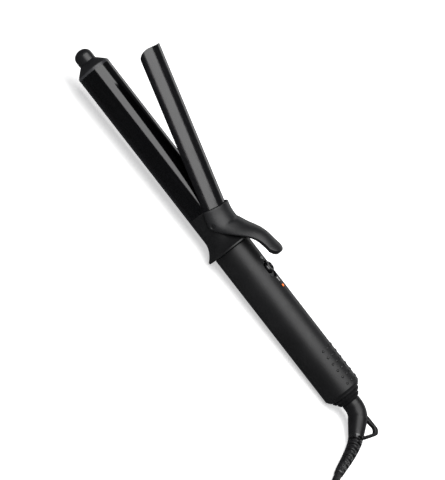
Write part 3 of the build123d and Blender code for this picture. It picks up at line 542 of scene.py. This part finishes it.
def rounded(points):
    """Outline of (x, radius, corner radius) points with its corners rounded."""
    outline = []
    for i, (x, r, corner) in enumerate(points):
        here = Vector((x, r))
        if corner == 0 or i in (0, len(points) - 1):
            outline.append(here)
            continue
        before = Vector(points[i - 1][:2]) - here
        after = Vector(points[i + 1][:2]) - here
        cut = min(corner, 0.48 * before.length, 0.48 * after.length)
        start, end = here + cut * before.normalized(), here + cut * after.normalized()
        for k in range(7):
            t = k / 6
            outline.append(start * (1 - t) ** 2 + here * 2 * t * (1 - t) + end * t * t)
    return outline


def lathe(name, points, segments=128, place=iron):
    """Closed turned body about the X axis of its place, from an outline that ends on the axis."""
    outline = rounded(points)
    angles = [2 * pi * j / segments for j in range(segments)]
    mesh = bmesh.new()
    rings = []
    for p in outline:
        if p.y < 1e-6:
            rings.append([mesh.verts.new((p.x, 0, 0))])
        else:
            rings.append([mesh.verts.new((p.x, -p.y * sin(angle), p.y * cos(angle))) for angle in angles])
    for first, second in zip(rings, rings[1:]):
        for j in range(segments):
            k = (j + 1) % segments
            corners = (first[j % len(first)], first[k % len(first)],
                       second[k % len(second)], second[j % len(second)])
            mesh.faces.new(list(dict.fromkeys(corners)))
    bmesh.ops.recalc_face_normals(mesh, faces=mesh.faces)
    data = bpy.data.meshes.new(name)
    mesh.transform(place)
    mesh.to_mesh(data)
    mesh.free()
    data.shade_smooth()
    data.set_sharp_from_angle(angle=radians(50))
    piece = made_object(name, data)
    piece.modifiers.new("weighted_normals", "WEIGHTED_NORMAL").keep_sharp = True
    return piece


BARREL_FRONT = -0.1972
CONE_BACK = BARREL_FRONT - 0.0022
CONE_FRONT = CONE_BACK - 0.0080
TIP_END = CONE_FRONT - 0.0128
cone = lathe("cool_tip_cone", [
    (CONE_BACK + 0.0094, 0, 0),
    (CONE_BACK + 0.0094, 0.01505, 0.0003),
    (CONE_BACK + 0.0001, 0.01505, 0.0001),
    (CONE_BACK + 0.0001, 0.01580, 0.0003),
    (CONE_BACK - 0.0010, 0.01545, 0.0004),
    (CONE_FRONT + 0.0006, 0.0087, 0.0004),
    (CONE_FRONT, 0.0080, 0.0003),
    (CONE_FRONT, 0, 0),
])
TIP_KNOB_R = 0.0083
DOME_LENGTH = 0.0068
dome = [(TIP_END + DOME_LENGTH * (1 - sin(radians(angle))), TIP_KNOB_R * cos(radians(angle)), 0)
        for angle in range(0, 91, 6)]
knob = lathe("cool_tip_knob", [
    (CONE_FRONT + 0.0030, 0, 0),
    (CONE_FRONT + 0.0030, 0.0050, 0.0002),
    (CONE_FRONT + 0.0002, 0.0050, 0.0002),
    (CONE_FRONT + 0.0001, 0.0081, 0.0003),
    (CONE_FRONT - 0.0008, TIP_KNOB_R, 0.0004),
] + dome)
tip_plastic = moulded("tip_plastic", (0.0055, 0.0056, 0.0066), (0.0110, 0.0112, 0.0128),
                      roughness=0.40, spread=0.10, grain=1500.0, depth=0.00007, Specular_IOR_Level=0.5)
for piece, node in ((cone, "tip_cone"), (knob, "tip_knob")):
    piece.data.materials.append(tip_plastic)
    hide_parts(node)
    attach(piece, "iron")
ring_plastic = moulded("tip_ring_plastic", (0.020, 0.020, 0.023), (0.034, 0.034, 0.038),
                       roughness=0.34, spread=0.1, grain=1700.0, depth=0.00004)
coat("tip_ring", ring_plastic)

# ---------------------------------------------------------------------------------------------
# Clamp blade. Rolled from aluminium strip and given the barrel's glossy coat, a shade duller. Its
# front corners are rounded and all its edges are broken so that they don't catch the hair.

BLADE_R = 0.01635
BLADE_WALL = 0.00095
BLADE_FRONT = -0.1896
BLADE_BACK = -0.0330
BLADE_HALF_ANGLE = radians(75.0)
CORNER_ACROSS, CORNER_ALONG = 0.0114, 0.0080
OPEN = radians(17.0)
pivot = iron.inverted() @ Vector(joints["clamp_hinge"]["pos_m"])
opened = iron @ Matrix.Translation(pivot) @ Matrix.Rotation(OPEN, 4, "Y") @ Matrix.Translation(-pivot)

BLADE_COLUMNS, BLADE_ROWS = 96, 60
half_strip = BLADE_R * BLADE_HALF_ANGLE
blade_mesh = bmesh.new()
columns = []
for i in range(BLADE_COLUMNS + 1):
    # Columns crowd together towards the strip's edges, where the corners turn
    strip = half_strip * sin(radians(90) * (2 * i / BLADE_COLUMNS - 1))
    into_corner = max(0.0, (abs(strip) - half_strip) / CORNER_ACROSS + 1)
    front = BLADE_FRONT + CORNER_ALONG * (1 - sqrt(max(0.0, 1 - into_corner**2)))
    angle = strip / BLADE_R
    columns.append([blade_mesh.verts.new((front + (BLADE_BACK - front) * j / BLADE_ROWS,
                                          BLADE_R * sin(angle), BLADE_R * cos(angle)))
                    for j in range(BLADE_ROWS + 1)])
for first, second in zip(columns, columns[1:]):
    for j in range(BLADE_ROWS):
        blade_mesh.faces.new((first[j], first[j + 1], second[j + 1], second[j]))
for face in blade_mesh.faces:
    face.normal_update()
if sum(face.normal.z for face in blade_mesh.faces) < 0:
    bmesh.ops.reverse_faces(blade_mesh, faces=blade_mesh.faces)
blade_mesh.transform(opened)
blade_data = bpy.data.meshes.new("hair_blade")
blade_mesh.to_mesh(blade_data)
blade_mesh.free()
blade_data.shade_smooth()
blade = made_object("hair_blade", blade_data)
wall = blade.modifiers.new("wall", "SOLIDIFY")
wall.thickness, wall.offset = BLADE_WALL, 1.0
edges = blade.modifiers.new("broken_edges", "BEVEL")
edges.width, edges.segments, edges.limit_method, edges.angle_limit = 0.00022, 3, "ANGLE", radians(50)
blade.modifiers.new("weighted_normals", "WEIGHTED_NORMAL").keep_sharp = True
blade_coat = glossy_coat("blade_ceramic", (0.0020, 0.0020, 0.0024), (0.0055, 0.0055, 0.0062), 0.16, 0.08)
blade_data.materials.append(blade_coat)
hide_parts("clamp_blade")
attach(blade, "clamp")

steel = metal("bright_steel", (0.42, 0.42, 0.43), (0.60, 0.60, 0.60), 0.26, 0.16, (1, 5, 5))
coat("blade_rivets", steel)

# ---------------------------------------------------------------------------------------------
# Thumb lever, shoulder and handle. Glass-filled nylon mouldings with a sprayed soft-touch coat, dry
# and velvety, which goes a little glossier where thumb and fingers rub it.


def soft_touch(name, dark, light, roughness):
    """Sprayed soft-touch coat, a little glossier where it is worn."""
    finish = Finish(name, Specular_IOR_Level=0.40)
    cloud = finish.ramp(finish.noise(38.0, 4.0), 0.35, 0.65)
    worn = finish.ramp(finish.noise(120.0, 5.0), 0.56, 0.74)
    grain = finish.noise(2400.0, 2.0)
    finish.set(Base_Color=finish.between(0.55 * cloud + 0.45 * grain, dark, light))
    finish.set(Roughness=roughness + 0.05 * cloud - 0.07 * worn)
    finish.bump(grain, 0.00007, 0.55)
    return finish.material


lever = softened("thumb_lever_moulding", "thumb_lever", 0.00042, 16)
lever_coat = soft_touch("lever_soft_touch", (0.0055, 0.0056, 0.0064), (0.0100, 0.0101, 0.0112), 0.40)
lever.data.materials.append(lever_coat)
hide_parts("thumb_lever")
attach(lever, "clamp")

PIN_CAP_R = 0.00165
pin_reach = max(abs(corner[1]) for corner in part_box("pivot_pin"))
for sign, name in ((1, "pin_cap_left"), (-1, "pin_cap_right")):
    cap_place = iron @ Matrix.Translation(pivot) @ Matrix.Rotation(sign * pi / 2, 4, "Z")
    pin_cap = lathe(name, [
        (pin_reach + 0.00002, 0, 0),
        (pin_reach + 0.00002, PIN_CAP_R, 0.0001),
        (pin_reach + 0.00040, PIN_CAP_R, 0.0002),
        (pin_reach + 0.00055, 0.0008, 0.0003),
        (pin_reach + 0.00058, 0, 0),
    ], 48, cap_place)
    pin_cap.data.materials.append(lever_coat)
    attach(pin_cap, "clamp")

handle_coat = soft_touch("handle_soft_touch", (0.0045, 0.0045, 0.0050), (0.0085, 0.0085, 0.0093), 0.46)
coat("shoulder_housing", handle_coat)
coat("handle_sleeve", handle_coat)
coat("tail_cap", handle_coat)

# ---------------------------------------------------------------------------------------------
# Grip dots. Thirty low round pips, moulded with the sleeve in five rows about its top near the
# tail, so that it doesn't slip in a wet hand.

DOT_COLUMNS, DOT_ROWS = 6, 5
DOT_PITCH = 0.0070
DOT_ANGLE = radians(18.0)
DOT_FIRST = 0.1208
DOT_R, DOT_HEIGHT = 0.00120, 0.00070
SLEEVE_R_AT_DOTS = 0.01796


class Shape:
    """A Geometry Nodes tree that is built node by node."""

    def __init__(self, name, inputs):
        self.tree = bpy.data.node_groups.new(name, "GeometryNodeTree")
        self.tree.interface.new_socket("Geometry", in_out="OUTPUT", socket_type="NodeSocketGeometry")
        self.identifiers = {}
        for label, kind in inputs.items():
            socket = self.tree.interface.new_socket(label, in_out="INPUT", socket_type=kind)
            self.identifiers[label] = socket.identifier
        self.inputs = self.tree.nodes.new("NodeGroupInput")
        self.outputs = self.tree.nodes.new("NodeGroupOutput")

    def node(self, kind, settings, sockets, output=0):
        made = self.tree.nodes.new(kind)
        for name, value in settings.items():
            setattr(made, name, value)
        for name, value in sockets.items():
            if isinstance(value, bpy.types.NodeSocket):
                self.tree.links.new(value, made.inputs[name])
            else:
                made.inputs[name].default_value = value
        return made.outputs[output]

    def math(self, operation, first, second=0.0):
        return self.node("ShaderNodeMath", {"operation": operation}, {0: first, 1: second})

    def made(self, name, values, place):
        """Runs the tree with its inputs' values and returns the result as a plain mesh in its place."""
        host = made_object(name + "_tree", bpy.data.meshes.new(name + "_tree"))
        modifier = host.modifiers.new("tree", "NODES")
        modifier.node_group = self.tree
        for label, value in values.items():
            modifier[self.identifiers[label]] = value
        mesh = bpy.data.meshes.new_from_object(host.evaluated_get(bpy.context.evaluated_depsgraph_get()))
        bpy.data.objects.remove(host)
        mesh.name = name
        mesh.transform(place)
        mesh.shade_smooth()
        return made_object(name, mesh)


dots = Shape("grip_dots", {
    "Columns": "NodeSocketInt", "Rows": "NodeSocketInt", "Pitch": "NodeSocketFloat",
    "Angle": "NodeSocketFloat", "First": "NodeSocketFloat", "Sleeve Radius": "NodeSocketFloat",
    "Dot Radius": "NodeSocketFloat", "Dot Height": "NodeSocketFloat", "Material": "NodeSocketMaterial"})
given = dots.inputs.outputs
length = dots.math("MULTIPLY", given["Pitch"], dots.math("SUBTRACT", given["Columns"], 1.0))
sweep = dots.math("MULTIPLY", given["Angle"], dots.math("SUBTRACT", given["Rows"], 1.0))
grid = dots.node("GeometryNodeMeshGrid", {}, {
    "Size X": length, "Size Y": sweep, "Vertices X": given["Columns"], "Vertices Y": given["Rows"]})
spot = dots.node("ShaderNodeSeparateXYZ", {}, {0: dots.node("GeometryNodeInputPosition", {}, {})}).node
from_first = dots.math("ADD", spot.outputs[0], dots.math("MULTIPLY", length, 0.5))
x_place = dots.math("ADD", from_first, given["First"])
mirrored_r = dots.math("MULTIPLY", given["Sleeve Radius"], -1.0)
y_place = dots.math("MULTIPLY", dots.math("SINE", spot.outputs[1]), mirrored_r)
z_place = dots.math("MULTIPLY", dots.math("COSINE", spot.outputs[1]), given["Sleeve Radius"])
lean = dots.node("ShaderNodeCombineXYZ", {}, {0: spot.outputs[1]})
kept = dots.node("GeometryNodeCaptureAttribute", {}, {"Geometry": grid})
capture = kept.node
capture.capture_items.new("VECTOR", "Lean")
dots.tree.links.new(lean, capture.inputs["Lean"])
wrapped = dots.node("ShaderNodeCombineXYZ", {}, {0: x_place, 1: y_place, 2: z_place})
spread = dots.node("GeometryNodeSetPosition", {}, {"Geometry": kept, "Position": wrapped})
pip = dots.node("GeometryNodeMeshUVSphere", {}, {"Segments": 20, "Rings": 10, "Radius": 1.0})
pips = dots.node("GeometryNodeInstanceOnPoints", {}, {
    "Points": spread, "Instance": pip, "Rotation": capture.outputs["Lean"],
    "Scale": dots.node("ShaderNodeCombineXYZ", {}, {0: given["Dot Radius"], 1: given["Dot Radius"],
                                                    2: given["Dot Height"]})})
real = dots.node("GeometryNodeRealizeInstances", {}, {"Geometry": pips})
painted = dots.node("GeometryNodeSetMaterial", {}, {"Geometry": real, "Material": given["Material"]})
dots.tree.links.new(painted, dots.outputs.inputs["Geometry"])

dot_coat = soft_touch("dot_soft_touch", (0.0060, 0.0060, 0.0066), (0.0110, 0.0110, 0.0118), 0.36)
grip_dots = dots.made("grip_dots", {
    "Columns": DOT_COLUMNS, "Rows": DOT_ROWS, "Pitch": DOT_PITCH, "Angle": DOT_ANGLE, "First": DOT_FIRST,
    "Sleeve Radius": SLEEVE_R_AT_DOTS, "Dot Radius": DOT_R, "Dot Height": DOT_HEIGHT,
    "Material": dot_coat}, iron)
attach(grip_dots, "iron")

# ---------------------------------------------------------------------------------------------
# Switch and pilot light. A glossy black button slides in a sunk plate. Pad-printed marks stand at
# both ends of its travel, and the light pipe behind them glows orange.

SWITCH_X = 0.0331
KNOB_R, KNOB_LOW, KNOB_TOP = 0.00545, 0.0168, 0.0203
button_place = iron @ Matrix.Translation((SWITCH_X, 0, 0)) @ Matrix.Rotation(-pi / 2, 4, "Y")
button = lathe("switch_button", [
    (0.0068, 0, 0),
    (0.0068, 0.0019, 0.0001),
    (KNOB_LOW, 0.0019, 0.0001),
    (KNOB_LOW, KNOB_R, 0.0004),
    (KNOB_LOW + 0.0022, KNOB_R, 0.0009),
    (KNOB_TOP - 0.0003, KNOB_R - 0.0011, 0.0008),
    (KNOB_TOP - 0.0002, KNOB_R - 0.0018, 0.0006),
    (KNOB_TOP - 0.0008, KNOB_R - 0.0026, 0.0008),
    (KNOB_TOP - 0.0009, 0, 0),
], 96, button_place)
gloss_black = moulded("gloss_black_plastic", (0.0020, 0.0020, 0.0024), (0.0050, 0.0050, 0.0056),
                      roughness=0.13, spread=0.06, grain=900.0, depth=0.00002, Specular_IOR_Level=0.55)
button.data.materials.append(gloss_black)
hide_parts("switch_knob")
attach(button, "switch")
plate_black = moulded("switch_plate_plastic", (0.0022, 0.0022, 0.0026), (0.0055, 0.0055, 0.0062),
                      roughness=0.26, spread=0.08, grain=1200.0, depth=0.00003)
coat("switch_plate", plate_black)

light_pipe = Finish("pilot_light_pipe", Roughness=0.22, Emission_Strength=0.55)
glow = light_pipe.ramp(light_pipe.noise(900.0, 2.0), 0.3, 0.7)
light_pipe.set(Base_Color=light_pipe.between(glow, (0.80, 0.13, 0.010), (0.95, 0.22, 0.02)))
light_pipe.set(Emission_Color=light_pipe.between(glow, (0.90, 0.12, 0.005), (1.0, 0.22, 0.02)))
for node in ("led_window", "pilot_led"):
    coat(node, light_pipe.material)

SLEEVE_R_AT_MARKS = 0.01811
INK = 0.00004
OFF_X, ON_X, TICK_X = 0.0225, 0.0469, 0.0449
ink = Finish("mark_ink", Roughness=0.55, Specular_IOR_Level=0.3)
ink_wear = ink.ramp(ink.noise(1500.0, 3.0), 0.35, 0.8)
ink.set(Base_Color=ink.between(ink_wear, (0.62, 0.62, 0.62), (0.42, 0.42, 0.42)))


def printed(name, strips):
    """Thin closed layer of ink on the sleeve's top. A strip is two rows of (along, around) points."""
    mesh = bmesh.new()
    for inner, outer in strips:
        layers = []
        for row in (inner, outer):
            for height in (0.0, INK):
                radius = SLEEVE_R_AT_MARKS + height
                layers.append([mesh.verts.new((x, -radius * sin(w / radius), radius * cos(w / radius)))
                               for x, w in row])
        inner_low, inner_high, outer_low, outer_high = layers
        closed = (Vector(inner[0]) - Vector(inner[-1])).length < 1e-7
        for rows in ((inner_low, inner_high), (inner_high, outer_high),
                     (outer_high, outer_low), (outer_low, inner_low)):
            for j in range(len(inner) - 1):
                mesh.faces.new((rows[0][j], rows[0][j + 1], rows[1][j + 1], rows[1][j]))
        if not closed:
            for j in (0, -1):
                mesh.faces.new((inner_low[j], inner_high[j], outer_high[j], outer_low[j]))
    bmesh.ops.remove_doubles(mesh, verts=mesh.verts, dist=1e-7)
    bmesh.ops.recalc_face_normals(mesh, faces=mesh.faces)
    data = bpy.data.meshes.new(name)
    mesh.transform(iron)
    mesh.to_mesh(data)
    mesh.free()
    data.materials.append(ink.material)
    piece = made_object(name, data)
    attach(piece, "iron")


def ring_row(x, radius):
    """Circle of points on the sleeve's top."""
    return [(x + radius * cos(2 * pi * j / 32), radius * sin(2 * pi * j / 32)) for j in range(33)]


def bar_strip(x, length, width):
    """Strip that runs along the sleeve."""
    row = [x + length * (j / 6 - 0.5) for j in range(7)]
    return [(p, -width / 2) for p in row], [(p, width / 2) for p in row]


printed("off_mark", [(ring_row(OFF_X, 0.0009), ring_row(OFF_X, 0.0014))])
printed("on_mark", [bar_strip(ON_X, 0.0034, 0.0009)])
printed("travel_mark", [bar_strip(TICK_X, 0.0006, 0.0022)])

# ---------------------------------------------------------------------------------------------
# Swivel arm. Bent arm of satin black plastic that turns in the tail, in one moulding with its
# three-cornered ring, by which the iron hangs on a hook.

ELBOW_R = 0.0087
ELBOW_BEND = 0.0150
ARM_GAP, ARM_EDGE = 0.0001, 0.0012
ARM_EDGE_CUT = 0.0008
BEND_STEPS, ARM_STEPS = 40, 30
LOOP_THICKNESS = 0.0021


def arm_plane(distance, out):
    """Point in the arm's plane: along the arm from its corner, and out from its centre line."""
    along_iron = ELBOW_CORNER + distance * cos(ELBOW_ANGLE) + out * sin(ELBOW_ANGLE)
    aside = distance * sin(ELBOW_ANGLE) - out * cos(ELBOW_ANGLE)
    return iron @ Vector((along_iron, -aside * cos(ELBOW_DROP), -aside * sin(ELBOW_DROP)))


bend_run = ELBOW_BEND * tan(ELBOW_ANGLE / 2)
bend_in = iron @ Vector((ELBOW_CORNER - bend_run, 0, 0))
bend_out = elbow_point(bend_run)
bend_middle = bend_out + ELBOW_BEND * (elbow_point(0) - arm_plane(0, 1)).normalized()
arm_line = [iron @ Vector((SEAM_TO_SWIVEL + start, 0, 0)) for start in (ARM_GAP, ARM_EDGE)]
for i in range(BEND_STEPS + 1):
    share = i / BEND_STEPS
    towards = (bend_in - bend_middle).slerp(bend_out - bend_middle, share).normalized()
    arm_line.append(bend_middle + ELBOW_BEND * towards)
arm_line += [elbow_point(bend_run + (ELBOW_ARM - bend_run) * (i + 1) / ARM_STEPS)
             for i in range(ARM_STEPS)]
runs = [0.0]
for before, after in zip(arm_line, arm_line[1:]):
    runs.append(runs[-1] + (after - before).length)
taper_from = runs[-1] - (ELBOW_ARM - bend_run)


def arm_radius(share, angle):
    """Radius of the arm, which tapers to its end. Its first edge is rounded."""
    run = runs[round(share * (len(runs) - 1))]
    tapered = max(0.0, (run - taper_from) / (runs[-1] - taper_from))
    return ELBOW_R + (ELBOW_END_R - ELBOW_R) * tapered - (ARM_EDGE_CUT if run == 0 else 0.0)


def cut_corners(points, corner):
    """Closed outline of points (distance, out) with rounded corners."""
    smooth = []
    for i, point in enumerate(points):
        here = Vector(point)
        before, after = Vector(points[i - 1]) - here, Vector(points[(i + 1) % len(points)]) - here
        cut = min(corner, 0.45 * before.length, 0.45 * after.length)
        start, end = here + cut * before.normalized(), here + cut * after.normalized()
        for k in range(9):
            t = k / 8
            smooth.append(start * (1 - t) ** 2 + here * 2 * t * (1 - t) + end * t**2)
    return smooth


arm_mesh = bmesh.new()
arm_mesh.from_mesh(ring_tube("swivel_arm_tube", arm_line, arm_radius, 64))
# The ring, a plate with a hole, with all its edges rounded over
outer = cut_corners([(0.0005, 0.0040), (0.0005, 0.0092), (0.0088, 0.0218),
                     (0.0146, 0.0226), (0.0245, 0.0088), (0.0245, 0.0040)], corner=0.0036)
hole = cut_corners([(0.0048, 0.0070), (0.0098, 0.0176), (0.0142, 0.0182),
                    (0.0214, 0.0080), (0.0214, 0.0058), (0.0060, 0.0058)], corner=0.0022)
plane_normal = (arm_plane(1, 0) - arm_plane(0, 0)).cross(arm_plane(0, 1) - arm_plane(0, 0)).normalized()
EDGE_ROUND = 0.0011
layers = []
for outline, sense in ((outer, -1), (hole, 1)):
    middle = sum(outline, Vector((0, 0))) / len(outline)
    rows = []
    for k in range(9):
        turn = pi * k / 8 - pi / 2
        inset = EDGE_ROUND * (1 - cos(turn))
        height = (LOOP_THICKNESS - EDGE_ROUND) * (1 if k > 4 else -1 if k < 4 else 0) + EDGE_ROUND * sin(turn)
        row = []
        for i, point in enumerate(outline):
            tangent = (outline[(i + 1) % len(outline)] - outline[i - 1]).normalized()
            inward = Vector((tangent.y, -tangent.x))
            if inward.dot(middle - point) < 0:
                inward = -inward
            moved = point - sense * inward * inset
            row.append(arm_mesh.verts.new(arm_plane(*moved) + plane_normal * height))
        rows.append(row)
    layers.append(rows)
    for first, second in zip(rows, rows[1:]):
        for i in range(len(outline)):
            k = (i + 1) % len(outline)
            arm_mesh.faces.new((first[i], first[k], second[k], second[i]))
for outer_row, hole_row in ((layers[0][0], layers[1][0]), (layers[0][-1], layers[1][-1])):
    edges = []
    for row in (outer_row, hole_row):
        for i in range(len(row)):
            pair = (row[i], row[(i + 1) % len(row)])
            edges.append(arm_mesh.edges.get(pair) or arm_mesh.edges.new(pair))
    bmesh.ops.triangle_fill(arm_mesh, use_beauty=True, edges=edges)
bmesh.ops.recalc_face_normals(arm_mesh, faces=arm_mesh.faces)
arm_data = bpy.data.meshes.new("swivel_arm")
arm_mesh.to_mesh(arm_data)
arm_mesh.free()
arm_data.shade_smooth()
arm_data.set_sharp_from_angle(angle=radians(40))
elbow = made_object("swivel_arm", arm_data)
arm_plastic = moulded("arm_plastic", (0.0045, 0.0045, 0.0050), (0.0090, 0.0090, 0.0098),
                      roughness=0.41, spread=0.12, grain=1500.0, depth=0.00007, Specular_IOR_Level=0.34)
elbow.data.materials.append(arm_plastic)
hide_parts("swivel_elbow")
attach(elbow, "swivel")

# ---------------------------------------------------------------------------------------------
# Working parts inside. Steel pins, springs and screws, the heater between its aluminium shoes, the
# board with its parts, and the brass contacts of the swivel. They show only when it is taken apart.

coat("pivot_pin", metal("blued_steel", (0.010, 0.010, 0.012), (0.030, 0.030, 0.034), 0.42, 0.14, (1, 5, 1)))
for node in ("torsion_spring", "tip_screw", "barrel_mount_screws", "chassis_screws",
             "board_screws", "spreader_springs"):
    coat(node, steel)
shoe_metal = metal("cast_aluminium", (0.52, 0.52, 0.53), (0.70, 0.70, 0.71), 0.34, 0.18, (1, 1, 1))
for node in ("heat_spreader_upper", "heat_spreader_lower"):
    coat(node, shoe_metal)
contact_metal = metal("contact_brass", (0.55, 0.38, 0.14), (0.75, 0.56, 0.24), 0.22, 0.16, (1, 6, 6))
for node in ("slip_rings", "contact_brushes"):
    coat(node, contact_metal)
coat("thermal_fuse", metal("fuse_can", (0.48, 0.46, 0.42), (0.62, 0.60, 0.56), 0.28, 0.12, (1, 6, 6)))
coat("heater_plate", moulded(
    "heater_ceramic", (0.70, 0.67, 0.60), (0.84, 0.82, 0.76),
    roughness=0.72, spread=0.1, grain=1400.0, depth=0.0002))
coat("temperature_sensor", moulded(
    "sensor_glass", (0.34, 0.10, 0.03), (0.50, 0.18, 0.06),
    roughness=0.12, spread=0.05, grain=500.0, depth=0.00002, Coat_Weight=0.6))
flange_plastic = moulded("heatproof_plastic", (0.09, 0.06, 0.04), (0.15, 0.11, 0.08),
                         roughness=0.62, spread=0.1, grain=1000.0, depth=0.0002)
for node in ("barrel_mount", "tip_plug"):
    coat(node, flange_plastic)
inner_plastic = moulded("inner_plastic", (0.035, 0.035, 0.038), (0.065, 0.065, 0.070),
                        roughness=0.52, spread=0.1, grain=1100.0, depth=0.0001)
for node in ("handle_chassis", "swivel_retainer", "slide_switch_body", "triac"):
    coat(node, inner_plastic)
coat("mains_capacitor", moulded(
    "capacitor_case", (0.55, 0.42, 0.04), (0.70, 0.56, 0.09),
    roughness=0.36, spread=0.08, grain=800.0, depth=0.00006))

sleeve = Finish("glass_braid_sleeve", Roughness=0.8)
braid = []
for sign in (1, -1):
    crossed = sleeve.node("ShaderNodeMapping", {}, {"Vector": sleeve.place, "Scale": (1, sign, sign)})
    braid.append(sleeve.node("ShaderNodeTexWave", {"bands_direction": "DIAGONAL"},
                             {"Vector": crossed, "Scale": 330.0, "Distortion": 0.4}))
weave = 0.5 * braid[0] + 0.5 * braid[1]
sleeve.set(Base_Color=sleeve.between(weave, (0.58, 0.56, 0.50), (0.82, 0.80, 0.75)))
sleeve.bump(weave, 0.0002)
for node in ("heater_leads", "supply_leads"):
    coat(node, sleeve.material)

board = Finish("board_laminate", Specular_IOR_Level=0.5)
tracks = board.node("ShaderNodeTexBrick", {"offset": 0.5}, {
    "Vector": board.place, "Color1": (1, 1, 1, 1), "Color2": (0.6, 0.6, 0.6, 1), "Mortar": (0, 0, 0, 1),
    "Scale": 120.0, "Mortar Size": 0.06}, 1)
board.set(Base_Color=board.between(tracks, (0.012, 0.10, 0.035), (0.03, 0.17, 0.06)))
board.set(Roughness=0.32 + 0.2 * board.noise(500.0))
board.bump(tracks, 0.00005)
coat("circuit_board", board.material)
